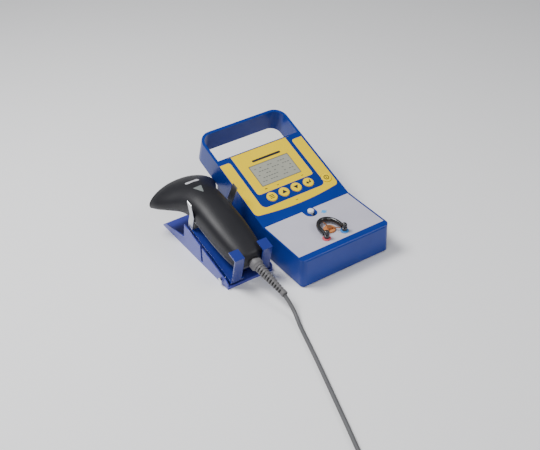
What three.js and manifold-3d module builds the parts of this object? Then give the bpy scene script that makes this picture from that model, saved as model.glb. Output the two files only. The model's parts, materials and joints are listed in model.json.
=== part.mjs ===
// Soldering tip thermometer with a hoop handle, beside a sheet-metal cradle that holds a corded
// touch scanner. Millimetres, +Z up, +X to the right, +Y to the back. The origin is on the bench,
// at the middle of the footprint of everything but the free cord.
import * as THREE from "three";
import { mergeVertices } from "three/addons/utils/BufferGeometryUtils.js";
import Module from "manifold-3d";

const wasm = await Module();
wasm.setup();

// Driving dimensions -----------------------------------------------------------------------------
const GAP = 0.3; // clearance between touching pieces
const WALL = 2.5; // moulded wall thickness
const SHEET = 1.2; // thickness of the cradle's sheet metal

const CASE = { left: -15.1, front: -100.7, width: 105, height: 32.8, bottom: 1.0, corner: 6 };
const DISPLAY = { start: 67.8, tilt: THREE.MathUtils.degToRad(19.7), bodyEnd: 92.7 };
const HOOP = { innerEnd: 129.2, outerEnd: 132.3, depth: 26.8, wall: 3, corner: 14.5 };
const SENSOR = { x: 51, y: 17, spacing: 21.5, depth: 23, plateFront: 8.2, plateBack: 67.2 };
const LEVER = { x: 53, y: 61.4, lobe: 6.8, travel: 3.5 };
const OVERLAY = { left: 1, right: 102.6, start: 14, end: 91.6, bow: 3.5, recess: 1, thickness: 0.6 };
const SCREEN = { x: 51.5, s: 58.4, width: 48, height: 28 };
const KEY = { radius: 5.6, row: 29.2, xs: [29.2, 44, 58.9, 74], power: [94.9, 26.4] };
const KEY_NAMES = ["menu_key", "up_key", "down_key", "enter_key"];
const DOOR = { x0: 32, x1: 73, y0: 100, z0: 1.2, z1: 3.2 };

const CRADLE = { x: -33.4, halfWidth: 25.7, front: 41, back: 171.5 };
const TRAY = { y: 40.1, z: 7.4, tilt: THREE.MathUtils.degToRad(15.8), halfWidth: 22.6, length: 83 };
const PIVOT = { y: 51.5, z: 6, radius: 1.5 };
const HOOK = { inner: 10.5, outer: 21, height: 32, plate: 12.4 };
const CLIP = { v: 74, width: 8, halfGap: 21.3, knee: 17, tip: 38, flare: 4.5 };
const HANDSET = { x: 1.2, yaw: 0.035, wall: 2, parting: 13.2, screws: [30, 62] };
const BOOT = { w: 19.5, start: 1.6, length: 49, collar: 6.6, tip: 3.2, yaw: 0.055, pitch: 0.035 };
const CORD = { diameter: 4, coilMean: 24, across: 5, layers: 2, coilX: -116, coilY: -228, lift: 0.9 };
const PLUG = { x: -148, start: -206, z: 4.6, length: 25, width: 15, height: 8 };

// The cord's route from the strain relief, along the bench, to the coil.
const LEAD_POINTS = [
  [-28.1, -12.6, 13.2], [-27.9, -16.5, 11], [-28.1, -22.4, 8], [-28.9, -28.3, 5.4],
  [-30.6, -34.5, 3.6], [-32.7, -41, 2.6],
];
const CORD_POINTS = [
  [-33, -42, 2.5], [-34.8, -48, 2.15], [-36.6, -54, 2.05], [-41, -69, 2.05], [-47.4, -90, 2.05],
  [-55, -114, 2.05], [-63, -139, 2.05], [-71.3, -165, 2.05], [-78.2, -186, 2.05],
  [-82.2, -199, 2.2], [-83.8, -207, 2.55], [-84, -212.2, 2.85],
];
const TAIL_POINTS = [[-148, -212.2, 6.4], [-148, -209.2, 5.7], [-148, -206.3, 5.2]];

// Helpers ----------------------------------------------------------------------------------------
const COLORS = {
  blue: 0x1a46a8, navy: 0x183a86, yellow: 0xffd200, lilac: 0xbebecb, black: 0x26262d,
  charcoal: 0x3a3a42, cradle: 0x4a58b8, steel: 0xc4c7cc, chrome: 0xdfe2e6, white: 0xf4f4f2,
  grey: 0x8a8689, green: 0x1f6b3f, red: 0xd24a55, sky: 0x3f8fe0, copper: 0xb5673a, glass: 0xa3a69a,
};

function material(color, roughness = 0.5, metalness = 0) {
  return new THREE.MeshStandardMaterial({ color: COLORS[color], roughness, metalness });
}

function piece(name, geometry, mat) {
  const mesh = new THREE.Mesh(geometry, mat);
  mesh.name = name;
  return mesh;
}

// A closed three.js geometry as a manifold solid.
function solid(geometry) {
  const plain = geometry.index ? geometry.toNonIndexed() : geometry.clone();
  for (const name of Object.keys(plain.attributes)) {
    if (name !== "position") plain.deleteAttribute(name);
  }
  const merged = mergeVertices(plain, 1e-4);
  return new wasm.Manifold(
    new wasm.Mesh({
      numProp: 3,
      vertProperties: merged.attributes.position.array,
      triVerts: new Uint32Array(merged.index.array),
    }),
  );
}

// A manifold solid as a three.js geometry.
function shell(manifold) {
  const mesh = manifold.getMesh();
  const geometry = new THREE.BufferGeometry();
  geometry.setAttribute("position", new THREE.BufferAttribute(mesh.vertProperties, 3));
  geometry.setIndex(new THREE.BufferAttribute(mesh.triVerts, 1));
  geometry.computeVertexNormals();
  return geometry;
}

function box(x0, x1, y0, y1, z0, z1) {
  const g = new THREE.BoxGeometry(x1 - x0, y1 - y0, z1 - z0);
  return g.translate((x0 + x1) / 2, (y0 + y1) / 2, (z0 + z1) / 2);
}

// An upright cylinder or cone from z0 to z1.
function post(x, y, z0, z1, r0, r1 = r0, sides = 24) {
  const g = new THREE.CylinderGeometry(r1, r0, z1 - z0, sides);
  return g.rotateX(Math.PI / 2).translate(x, y, (z0 + z1) / 2);
}

// A flat shape in X and Y, raised from z0 to z1.
function slab(shape, z0, z1, curveSegments = 6) {
  const g = new THREE.ExtrudeGeometry(shape, { depth: z1 - z0, bevelEnabled: false, curveSegments });
  return g.translate(0, 0, z0);
}

// A side view in Y and Z, extruded from x0 to x1.
function sideSlab(shape, x0, x1, curveSegments = 6) {
  const g = new THREE.ExtrudeGeometry(shape, { depth: x1 - x0, bevelEnabled: false, curveSegments });
  const turn = new THREE.Matrix4().makeBasis(
    new THREE.Vector3(0, 1, 0),
    new THREE.Vector3(0, 0, 1),
    new THREE.Vector3(1, 0, 0),
  );
  return g.applyMatrix4(turn).translate(x0, 0, 0);
}

function polygon(points) {
  return new THREE.Shape(points.map(([x, y]) => new THREE.Vector2(x, y)));
}

// A rectangle with a radius at each corner: [front left, front right, back right, back left].
function roundedRect(x0, x1, y0, y1, [a, b, c, d]) {
  const s = new THREE.Shape();
  s.moveTo(x0 + a, y0);
  s.lineTo(x1 - b, y0);
  if (b) s.absarc(x1 - b, y0 + b, b, -Math.PI / 2, 0);
  s.lineTo(x1, y1 - c);
  if (c) s.absarc(x1 - c, y1 - c, c, 0, Math.PI / 2);
  s.lineTo(x0 + d, y1);
  if (d) s.absarc(x0 + d, y1 - d, d, Math.PI / 2, Math.PI);
  s.lineTo(x0, y0 + a);
  if (a) s.absarc(x0 + a, y0 + a, a, Math.PI, 1.5 * Math.PI);
  return s;
}

// A solid of revolution about +Z from [radius, z] points that start and end on the axis or close.
function lathe(points, sides = 24) {
  const g = new THREE.LatheGeometry(points.map(([r, z]) => new THREE.Vector2(r, z)), sides);
  return g.rotateX(Math.PI / 2);
}

// Moves a solid from the display's plane into the case's own axes.
function fromDisplay(geometry) {
  return geometry.rotateX(DISPLAY.tilt).translate(0, DISPLAY.start, CASE.height);
}

// Tester case --------------------------------------------------------------------------------------
function caseProfile() {
  const end = DISPLAY.start + DISPLAY.bodyEnd * Math.cos(DISPLAY.tilt);
  const top = CASE.height + DISPLAY.bodyEnd * Math.sin(DISPLAY.tilt);
  const edge = 2.6;
  const s = new THREE.Shape();
  s.moveTo(edge / 2, CASE.bottom);
  s.lineTo(end - edge / 2, CASE.bottom);
  s.lineTo(end, CASE.bottom + edge / 2);
  s.lineTo(end, top);
  s.lineTo(DISPLAY.start, CASE.height);
  s.lineTo(edge, CASE.height);
  s.absarc(edge, CASE.height - edge, edge, Math.PI / 2, Math.PI);
  s.lineTo(0, CASE.bottom + edge / 2);
  return s;
}

function caseCavity() {
  const end = DISPLAY.start + DISPLAY.bodyEnd * Math.cos(DISPLAY.tilt) - WALL;
  const roof = OVERLAY.recess + 2;
  const roofStart = DISPLAY.start + roof * Math.tan(DISPLAY.tilt / 2);
  const top = CASE.height - roof + (end - roofStart) * Math.tan(DISPLAY.tilt);
  return sideSlab(
    polygon([
      [WALL, CASE.bottom - 1], [end, CASE.bottom - 1], [end, top],
      [roofStart, CASE.height - roof], [WALL, CASE.height - roof],
    ]),
    WALL,
    CASE.width - WALL,
  );
}

// The carrying hoop: a thin band square to the display plane, going round the hand opening.
function hoopBand() {
  const { innerEnd, outerEnd, depth, wall, corner } = HOOP;
  const outer = roundedRect(0, CASE.width, 70, outerEnd, [0, 0, corner, corner]);
  const inner = corner - wall;
  const hole = roundedRect(wall, CASE.width - wall, DISPLAY.bodyEnd, innerEnd, [0, 0, inner, inner]);
  return {
    band: solid(fromDisplay(slab(outer, -depth, 0, 10))),
    hole: solid(fromDisplay(slab(hole, -depth - 20, 10, 10))),
  };
}

// The outline of the membrane sheet on the display plane, grown by a margin.
function overlayShape(grow) {
  const { left, right, start, end, bow } = OVERLAY;
  const x0 = left - grow;
  const x1 = right + grow;
  const y0 = start - grow;
  const r = 6;
  const s = new THREE.Shape();
  s.moveTo(x0 + r, y0);
  s.quadraticCurveTo(CASE.width / 2, y0 - 2 * bow, x1 - r, y0);
  s.quadraticCurveTo(x1, y0, x1, y0 + r);
  s.lineTo(x1, end + grow);
  s.lineTo(x0, end + grow);
  s.lineTo(x0, y0 + r);
  s.quadraticCurveTo(x0, y0, x0 + r, y0);
  return s;
}

// The outline of the grey sensor plate, with a round bite for the lever's lobe.
function sensorPlateShape(grow) {
  const x0 = 1.7 - grow;
  const x1 = CASE.width - 1.7 + grow;
  const r = LEVER.lobe - grow;
  const s = new THREE.Shape();
  s.moveTo(x0, SENSOR.plateFront - grow);
  s.lineTo(x1, SENSOR.plateFront - grow);
  s.lineTo(x1, SENSOR.plateBack + grow);
  s.lineTo(LEVER.x + r, SENSOR.plateBack + grow);
  s.lineTo(LEVER.x + r, LEVER.y);
  s.absarc(LEVER.x, LEVER.y, r, 0, -Math.PI, true);
  s.lineTo(LEVER.x - r, SENSOR.plateBack + grow);
  s.lineTo(x0, SENSOR.plateBack + grow);
  return s;
}

const SCREW_PLACES = [[10, 12], [95, 12], [10, 142], [95, 142]];

function caseShell() {
  const plan = roundedRect(0, CASE.width, 0, 190, [CASE.corner, CASE.corner, 0, 0]);
  let body = solid(sideSlab(caseProfile(), 0, CASE.width)).intersect(solid(slab(plan, 0, 90, 8)));
  const { band, hole } = hoopBand();
  body = body.add(band).subtract(hole).subtract(solid(caseCavity()));
  for (const [x, y] of SCREW_PLACES) {
    const roof = y < DISPLAY.start ? CASE.height - 2.5 : 57.2;
    body = body.add(solid(post(x, y, 3.6, roof, 3.4, 3.4, 12)));
    body = body.subtract(solid(post(x, y, 3, 12, 1.7, 1.7, 12)));
  }
  const cuts = [
    slab(sensorPlateShape(GAP), CASE.height - OVERLAY.recess, CASE.height + 3, 12),
    fromDisplay(slab(overlayShape(GAP), -OVERLAY.recess, 6, 12)),
    fromDisplay(box(SCREEN.x - 27, SCREEN.x + 27, SCREEN.s - 16, SCREEN.s + 16, -6, 1)),
    box(LEVER.x - 1.9, LEVER.x + 1.9, LEVER.y - 2.8 - LEVER.travel, LEVER.y + 2.8, 20, 40),
    box(DOOR.x0 - GAP, DOOR.x1 + GAP, 140, 160, 0, DOOR.z1 + GAP),
  ];
  for (const x of [...KEY.xs.map((k) => [k, KEY.row]), KEY.power]) {
    cuts.push(fromDisplay(post(x[0], x[1], -8, 2, KEY.radius + 0.5)));
  }
  for (const side of [-1, 1]) {
    cuts.push(post(SENSOR.x + (side * SENSOR.spacing) / 2, SENSOR.y, 26, 40, 1.8, 1.8, 12));
  }
  return shell(cuts.reduce((all, cut) => all.subtract(solid(cut)), body));
}

function bottomCover() {
  const end = DISPLAY.start + DISPLAY.bodyEnd * Math.cos(DISPLAY.tilt) - WALL;
  const edge = WALL + GAP;
  const outline = roundedRect(edge, CASE.width - edge, edge, end - GAP, [3.4, 3.4, 1, 1]);
  let plate = solid(slab(outline, DOOR.z0, DOOR.z1));
  plate = plate.subtract(solid(box(DOOR.x0 - GAP, DOOR.x1 + GAP, DOOR.y0 - GAP, 160, 0, 5)));
  for (const [x, y] of SCREW_PLACES) {
    plate = plate.subtract(solid(post(x, y, 0, 2.4, 2.9, 2.9, 16)));
    plate = plate.subtract(solid(post(x, y, 2, 5, 1.7, 1.7, 12)));
  }
  return shell(plate);
}

// A pan-head screw standing upside down: head below, shank up into the boss.
function caseScrew(x, y) {
  const profile = [[0, 0], [2.6, 0], [2.6, 0.9], [1.3, 0.9], [1.3, 8], [0, 8]];
  return lathe(profile, 12).translate(x, y, 1.2);
}

function batteryDoor() {
  const end = DISPLAY.start + DISPLAY.bodyEnd * Math.cos(DISPLAY.tilt);
  const { x0, x1, y0, z0, z1 } = DOOR;
  const lip = solid(box(x0, x1, end - 2, end, z0, z1));
  return shell(solid(box(x0, x1, y0, end - 1, z0, z1)).add(lip));
}

function battery() {
  return slab(roundedRect(39, 66, 104, 149, [2, 2, 2, 2]), 4, 20.5, 4);
}

function batterySnap() {
  return box(39.5, 65.5, 97, 103.4, 5, 19);
}

function mainBoard() {
  let board = solid(box(14.5, 90.5, 20, 84, -9.2, -7.6));
  for (const x of [24, 80]) board = board.subtract(solid(post(x, 24, -12, -5, 1.4, 1.4, 10)));
  return shell(board);
}

function lcdModule() {
  return box(SCREEN.x - 26.5, SCREEN.x + 26.5, SCREEN.s - 15.5, SCREEN.s + 15.5, -7.2, -1.1);
}

function lcdWindow() {
  const { x, s, width, height } = SCREEN;
  const outline = roundedRect(x - width / 2, x + width / 2, s - height / 2, s + height / 2, [1, 1, 1, 1]);
  return slab(outline, -0.75, -0.15, 3);
}

function displayOverlay() {
  let sheet = solid(slab(overlayShape(0), -0.7, -0.7 + OVERLAY.thickness, 12));
  const { x, s, width, height } = SCREEN;
  const w = width / 2 + GAP;
  const h = height / 2 + GAP;
  sheet = sheet.subtract(solid(slab(roundedRect(x - w, x + w, s - h, s + h, [1, 1, 1, 1]), -2, 2, 3)));
  for (const [kx, ks] of [...KEY.xs.map((k) => [k, KEY.row]), KEY.power]) {
    sheet = sheet.subtract(solid(post(kx, ks, -2, 2, KEY.radius + 0.35)));
  }
  return shell(sheet);
}

function keyCap(x, s) {
  const { radius } = KEY;
  const profile = [[0, -6.2], [3, -6.2], [3, -3.6], [radius, -3.6], [radius, 0.2], [radius - 0.4, 0.6], [0, 0.6]];
  return lathe(profile, 24).translate(x, s, 0);
}

// Sensor bay ------------------------------------------------------------------------------------------
function sensorPlate() {
  const z = CASE.height;
  let plate = solid(slab(sensorPlateShape(0), z - 0.7, z - 0.1, 12));
  for (const side of [-1, 1]) {
    const x = SENSOR.x + (side * SENSOR.spacing) / 2;
    plate = plate.subtract(solid(post(x, SENSOR.y, z - 3, z + 3, 1.8, 1.8, 12)));
  }
  return shell(plate);
}

function terminalRing(x) {
  const z = CASE.height + 0.2;
  const ring = solid(post(x, SENSOR.y, z, z + 0.8, 4.4, 4.2, 24));
  return shell(ring.subtract(solid(post(x, SENSOR.y, z - 2, z + 3, 2.05, 2.05, 16))));
}

// A terminal post: a shank through the roof, a black collar's seat and a ball top in one turned piece.
function terminalPost(x) {
  const points = [[0, -4.5], [1.5, -4.5], [1.5, 1.4], [2.6, 1.4], [2.6, 4.6], [1.6, 5.1]];
  for (let i = 1; i <= 5; i++) {
    const a = -0.8 + (i / 5) * (Math.PI / 2 + 0.8);
    points.push([i === 5 ? 0 : 2.7 * Math.cos(a), 7 + 2.7 * Math.sin(a)]);
  }
  return lathe(points, 16).translate(x, SENSOR.y, CASE.height);
}

function horseshoe(halfWidth, back, z) {
  const straight = 8;
  const r = halfWidth;
  const points = [new THREE.Vector3(SENSOR.x - r, SENSOR.y + 3.1, z)];
  points.push(new THREE.Vector3(SENSOR.x - r, SENSOR.y + straight, z));
  for (let i = 0; i <= 6; i++) {
    const a = Math.PI - (i / 6) * Math.PI;
    const y = SENSOR.y + straight + (back - straight) * Math.sin(a);
    if (i > 0 && i < 6) points.push(new THREE.Vector3(SENSOR.x + r * Math.cos(a), y, z));
  }
  points.push(new THREE.Vector3(SENSOR.x + r, SENSOR.y + straight, z));
  points.push(new THREE.Vector3(SENSOR.x + r, SENSOR.y + 3.1, z));
  return new THREE.CatmullRomCurve3(points, false, "centripetal");
}

// The moulded guard that runs from one terminal round the back to the other.
function sensorGuard() {
  const section = new THREE.Shape();
  section.absellipse(0, 0, 2.8, 2.1, 0, 2 * Math.PI);
  const path = horseshoe(SENSOR.spacing / 2, SENSOR.depth, CASE.height + 3.9);
  return new THREE.ExtrudeGeometry(section, { steps: 26, extrudePath: path, curveSegments: 5 });
}

// The sensor: a small disc held by a wire from each terminal and one from the guard.
function thermocouple() {
  const z = CASE.height + 3.1;
  const disc = [SENSOR.x, SENSOR.y + 10];
  let all = solid(post(disc[0], disc[1], z - 0.6, z + 0.6, 2.6, 2.6, 18));
  const ends = [
    [SENSOR.x - 8, SENSOR.y + 3.2],
    [SENSOR.x + 8, SENSOR.y + 3.2],
    [SENSOR.x, SENSOR.y + SENSOR.depth - 2.6],
  ];
  for (const [x, y] of ends) {
    const length = Math.hypot(x - disc[0], y - disc[1]);
    const strip = new THREE.BoxGeometry(length, 1, 0.5);
    strip.rotateZ(Math.atan2(y - disc[1], x - disc[0]));
    strip.translate((x + disc[0]) / 2, (y + disc[1]) / 2, z);
    all = all.add(solid(strip));
  }
  return shell(all);
}

function heatPad() {
  const z = CASE.height + 0.2;
  return post(SENSOR.x, SENSOR.y + 10, z, z + 1.6, 6.4, 6.0, 24);
}

function slideLever() {
  const z = CASE.height;
  const knob = lathe([[0, 0.3], [2.9, 0.3], [3.2, 0.8], [3.2, 2.6], [2.5, 3.4], [0, 3.4]], 24);
  const stem = box(LEVER.x - 1.5, LEVER.x + 1.5, LEVER.y - 2.2, LEVER.y + 2.2, z - 6.5, z + 1);
  return shell(solid(knob.translate(LEVER.x, LEVER.y, z)).add(solid(stem)));
}

function leverSpring() {
  const bar = new THREE.CylinderGeometry(1.6, 1.6, 9, 12);
  return bar.translate(LEVER.x, LEVER.y + 7.2, CASE.height - 5.2);
}

// Cradle --------------------------------------------------------------------------------------------
function cradleWall() {
  const { front, back } = CRADLE;
  return polygon([
    [front, 0], [back - 0.5, 0], [back - 0.5, 1.2], [back - 7.5, 6], [124.7, 13.1], [122, 29.6],
    [94.5, 22.3], [91.4, 21.5], [91.4, 3], [88.2, 3], [88.2, 20.6], [front + 2.5, 8.9], [front, 7],
  ]);
}

// The cradle's base: a plate on the bench with an upright wall each side and a low front lip.
function cradleBase() {
  const { halfWidth, front, back } = CRADLE;
  let base = solid(box(-halfWidth, halfWidth, front, back - 0.5, 0, SHEET));
  base = base.add(solid(box(-halfWidth, halfWidth, front, front + SHEET, 0, 3)));
  for (const side of [-1, 1]) {
    const outer = side * halfWidth;
    const inner = side * (halfWidth - SHEET);
    base = base.add(solid(sideSlab(cradleWall(), Math.min(outer, inner), Math.max(outer, inner))));
    const hole = new THREE.CylinderGeometry(PIVOT.radius + GAP, PIVOT.radius + GAP, 6, 12);
    hole.rotateZ(Math.PI / 2).translate(side * halfWidth, PIVOT.y, PIVOT.z);
    base = base.subtract(solid(hole));
  }
  return shell(base);
}

// A pivot screw: hexagon head outside the wall, shank through wall and tray flange, nut inside.
function pivotScrew(side) {
  const turned = (r, x0, x1, sides) => {
    const g = new THREE.CylinderGeometry(r, r, Math.abs(x1 - x0), sides);
    return solid(g.rotateZ(Math.PI / 2).translate((side * (x0 + x1)) / 2, PIVOT.y, PIVOT.z));
  };
  const head = turned(3, CRADLE.halfWidth + GAP, CRADLE.halfWidth + 2.5, 6);
  const shank = turned(PIVOT.radius, TRAY.halfWidth - 3.4, CRADLE.halfWidth + 1, 12);
  const nut = turned(2.5, TRAY.halfWidth - 3.6, TRAY.halfWidth - 1.9, 6);
  return shell(head.add(shank).add(nut));
}

// The tray, in its own tilted frame: Y up the slope, Z square to it.
function tray() {
  const { halfWidth, length } = TRAY;
  const plate = roundedRect(-halfWidth, halfWidth, 0, length, [0, 0, 2, 2]);
  let all = solid(slab(plate, -SHEET, 0, 3));
  for (const side of [-1, 1]) {
    const x0 = Math.min(side * halfWidth, side * (halfWidth - SHEET));
    all = all.add(solid(box(x0, x0 + SHEET, 0, 43, -SHEET, 1.9)));
    const flange = polygon([[4, -0.5], [22, -0.5], [19, -5.8], [7, -5.8]]);
    all = all.add(solid(sideSlab(flange, x0, x0 + SHEET)));
    const left = Math.min(side * HOOK.inner, side * HOOK.outer);
    const width = HOOK.outer - HOOK.inner;
    all = all.add(solid(box(left, left + width, 0, 1.5, -SHEET, HOOK.height)));
    all = all.add(solid(box(left, left + width, 0, HOOK.plate, HOOK.height - 1.5, HOOK.height)));
  }
  all = all.subtract(solid(slab(roundedRect(-7.5, 7.5, -4, 9, [0, 0, 5, 5]), -4, 4, 5)));
  const hole = new THREE.CylinderGeometry(PIVOT.radius + GAP, PIVOT.radius + GAP, 80, 12);
  hole.rotateZ(Math.PI / 2);
  const [v, w] = intoTray(PIVOT.y, PIVOT.z);
  all = all.subtract(solid(post(0, CLIP.v + CLIP.width / 2, -4, 2, 1.4, 1.4, 12)));
  return shell(all.subtract(solid(hole.translate(0, v, w))));
}

// A point of the cradle's side view in the tray's frame.
function intoTray(y, z) {
  const dy = y - TRAY.y;
  const dz = z - TRAY.z;
  const c = Math.cos(TRAY.tilt);
  const s = Math.sin(TRAY.tilt);
  return [dy * c + dz * s, -dy * s + dz * c];
}

// The bright spring clip: one bent strap with a foot on the tray and an arm each side of the neck.
function springClip() {
  const t = 0.8;
  const { v, width, halfGap, knee, tip, flare } = CLIP;
  const arm = [
    [halfGap - 6, GAP], [halfGap + 0.9, GAP], [halfGap + 1.4, 6], [halfGap + t, knee],
    [halfGap + flare + t, tip], [halfGap + flare, tip + 0.3], [halfGap, knee + 0.4],
    [halfGap + 0.6, 6], [halfGap + 0.1, GAP + t], [halfGap - 6, GAP + t],
  ];
  const turn = new THREE.Matrix4().makeBasis(
    new THREE.Vector3(1, 0, 0),
    new THREE.Vector3(0, 0, 1),
    new THREE.Vector3(0, -1, 0),
  );
  let all = solid(box(-halfGap + 4, halfGap - 4, v, v + width, GAP, GAP + t));
  for (const side of [-1, 1]) {
    const points = arm.map(([x, z]) => [side * x, z]);
    if (side < 0) points.reverse();
    const g = new THREE.ExtrudeGeometry(polygon(points), { depth: width, bevelEnabled: false });
    all = all.add(solid(g.applyMatrix4(turn).translate(0, v + width, 0)));
  }
  return shell(all.subtract(solid(post(0, v + width / 2, -3, 5, 1.5, 1.5, 12))));
}

function clipRivet() {
  const y = CLIP.v + CLIP.width / 2;
  return lathe([[0, -2.6], [2.2, -2.6], [2.2, -1.6], [1.1, -1.6], [1.1, 1.3], [0, 1.3]], 12).translate(0, y, 0);
}

// Handset ----------------------------------------------------------------------------------------------
// Stations from the cord end to the mouth: the top and bottom points in the side view (v along the
// tray, w above it), the half width, how far the sides droop and sweep back, and the power that
// makes a section boxier below 1 and more pointed above it.
const STATIONS = [
  { top: [2.4, 25.5], bottom: [2.4, 12.5], half: 9.2, droop: 0, sweep: 0, power: 0.8 },
  { top: [5, 28], bottom: [4.2, 7.2], half: 13.4, droop: 0, sweep: 0, power: 0.75 },
  { top: [12, 29.6], bottom: [11, 3.2], half: 16.2, droop: 0, sweep: 0, power: 0.72 },
  { top: [26, 31.2], bottom: [25, 1.7], half: 18.4, droop: 0, sweep: 0, power: 0.72 },
  { top: [48, 32.6], bottom: [48, 1.7], half: 19.6, droop: 0, sweep: 0, power: 0.72 },
  { top: [68, 32.6], bottom: [67, 1.7], half: 19.6, droop: 0, sweep: 0, power: 0.75 },
  { top: [85, 31.4], bottom: [83, 1.7], half: 19.6, droop: 0, sweep: 0, power: 0.8 },
  { top: [98, 28.4], bottom: [93, -0.5], half: 21.5, droop: 0.5, sweep: 0.5, power: 0.9 },
  { top: [110, 23.4], bottom: [102, -4.6], half: 26, droop: 1, sweep: 1, power: 1 },
  { top: [121, 17], bottom: [111.5, -9], half: 32, droop: 1.5, sweep: 2, power: 1.1 },
  { top: [131, 9.8], bottom: [121.5, -13.2], half: 36.5, droop: 2, sweep: 3, power: 1.15 },
  { top: [139, 2.8], bottom: [129.5, -16.6], half: 38.5, droop: 2, sweep: 4, power: 1.15 },
];
const RING = 20;

// One ring of the handset's skin, drawn in by an inset on all sides.
function handsetRing(station, inset) {
  const { top, bottom, half, droop, sweep, power } = station;
  const tall = Math.hypot(top[0] - bottom[0], top[1] - bottom[1]);
  const up = [(top[0] - bottom[0]) / tall, (top[1] - bottom[1]) / tall];
  const mid = [(top[0] + bottom[0]) / 2, (top[1] + bottom[1]) / 2];
  const ring = [];
  for (let i = 0; i < RING; i++) {
    const a = (i / RING) * 2 * Math.PI;
    const across = Math.sign(Math.sin(a)) * Math.abs(Math.sin(a)) ** power;
    const rise = -Math.sign(Math.cos(a)) * Math.abs(Math.cos(a)) ** power;
    const lift = rise * (tall / 2 - inset) - droop * across * across;
    const v = mid[0] + up[0] * lift - sweep * across * across;
    ring.push([across * (half - inset), v, mid[1] + up[1] * lift]);
  }
  return ring;
}

// Joins rings of equal count into one closed skin with flat ends.
function loft(rings) {
  const count = rings[0].length;
  const corners = rings.flat();
  const centre = (ring) => [0, 1, 2].map((k) => ring.reduce((sum, p) => sum + p[k], 0) / count);
  corners.push(centre(rings[0]), centre(rings[rings.length - 1]));
  const index = [];
  for (let r = 0; r + 1 < rings.length; r++) {
    for (let i = 0; i < count; i++) {
      const a = r * count + i;
      const b = r * count + ((i + 1) % count);
      index.push(a, a + count, b, b, a + count, b + count);
    }
  }
  const first = rings.length * count;
  const last = (rings.length - 1) * count;
  for (let i = 0; i < count; i++) {
    const next = (i + 1) % count;
    index.push(first, i, next, first + 1, last + next, last + i);
  }
  const geometry = new THREE.BufferGeometry();
  geometry.setAttribute("position", new THREE.Float32BufferAttribute(corners.flat(), 3));
  geometry.setIndex(index);
  return geometry;
}

function handsetSkin() {
  return solid(loft(STATIONS.map((s) => handsetRing(s, 0))));
}

// The hollow inside, which runs out through the mouth.
function handsetHollow() {
  const rings = STATIONS.slice(1).map((s) => handsetRing(s, HANDSET.wall));
  const last = rings[rings.length - 1];
  rings.push(last.map(([x, v, w]) => [x, v + 6, w - 4]));
  return solid(loft(rings));
}

// The space above or below the parting line between the two shells.
function partingSpace(above) {
  const g = above ? GAP / 2 : -GAP / 2;
  const p = HANDSET.parting + g;
  const line = [[-30, p], [72, p], [92, 8 + g], [112, -3 + g], [132, -15 + g], [170, -40 + g]];
  const far = above ? 80 : -80;
  const points = [...line, [170, far], [-30, far]];
  if (!above) points.reverse();
  return solid(sideSlab(polygon(points), -60, 60));
}

function handsetTop() {
  let top = handsetSkin().subtract(handsetHollow()).intersect(partingSpace(true));
  top = top.subtract(bootHole());
  top = top.subtract(solid(lensShape(GAP, -4, 3)));
  return shell(top);
}

function handsetBottom() {
  let bottom = handsetSkin().subtract(handsetHollow()).intersect(partingSpace(false));
  bottom = bottom.subtract(bootHole()).subtract(triggerSolid(GAP));
  for (const v of HANDSET.screws) {
    bottom = bottom.subtract(solid(post(0, v, -2, 5, 2.4, 2.4, 12)));
  }
  return shell(bottom);
}

function bootHole() {
  const hole = new THREE.CylinderGeometry(4.9, 4.9, 14, 16);
  return solid(hole.translate(0, 4, BOOT.w));
}

// Places a flat piece on the head's top, which slopes down to the mouth.
function onHead(geometry) {
  return geometry.rotateX(-0.5).translate(0, 104, 26.4);
}

function lensShape(grow, z0, z1) {
  const g = grow;
  const outline = polygon([[-4.6 - g, 3.6 + g], [0, -7.4 - 2 * g], [4.6 + g, 3.6 + g]]);
  return onHead(slab(outline, z0, z1));
}

function indicatorLens() {
  return lensShape(0, -1.6, 0.35);
}

function nameBadge() {
  const outline = roundedRect(-7, 7, 15, 20, [1, 1, 1, 1]);
  return onHead(slab(outline, 0.2, 0.8, 3));
}

function scanWindow() {
  const station = STATIONS[STATIONS.length - 1];
  const inset = handsetRing(station, HANDSET.wall + 1.1);
  const direction = [-0.86, -0.5];
  const back = inset.map(([x, v, w]) => [x, v - 2.2 * 0.86, w + 2.2 * 0.5]);
  const front = inset.map(([x, v, w]) => [x, v + 0.9 * direction[0], w - 0.9 * direction[1]]);
  return shell(solid(loft([back, front])));
}

function triggerSolid(grow) {
  const g = grow;
  const side = polygon([
    [90 - g, 3.4 + g], [89 - g, -3.2 - g], [92.5, -6.2 - g], [97.5, -8.6 - g],
    [103 + g, -8.4 - g], [103 + g, 3.4 + g],
  ].reverse());
  return solid(sideSlab(side, -9 - g, 9 + g));
}

function trigger() {
  return shell(triggerSolid(0));
}

function triggerSpring() {
  return post(0, 96, 3.7, 7, 2, 2, 12);
}

function scanBoard() {
  return box(-13, 13, 14, 84, 15.2, 16.8);
}

function scanEngine() {
  return box(-12, 12, 90, 108, 7.4, 14.4);
}

function handsetScrew(v) {
  return lathe([[0, 0], [2, 0], [2, 1.3], [1.1, 1.3], [1.1, 9], [0, 9]], 12).translate(0, v, 2);
}

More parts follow.
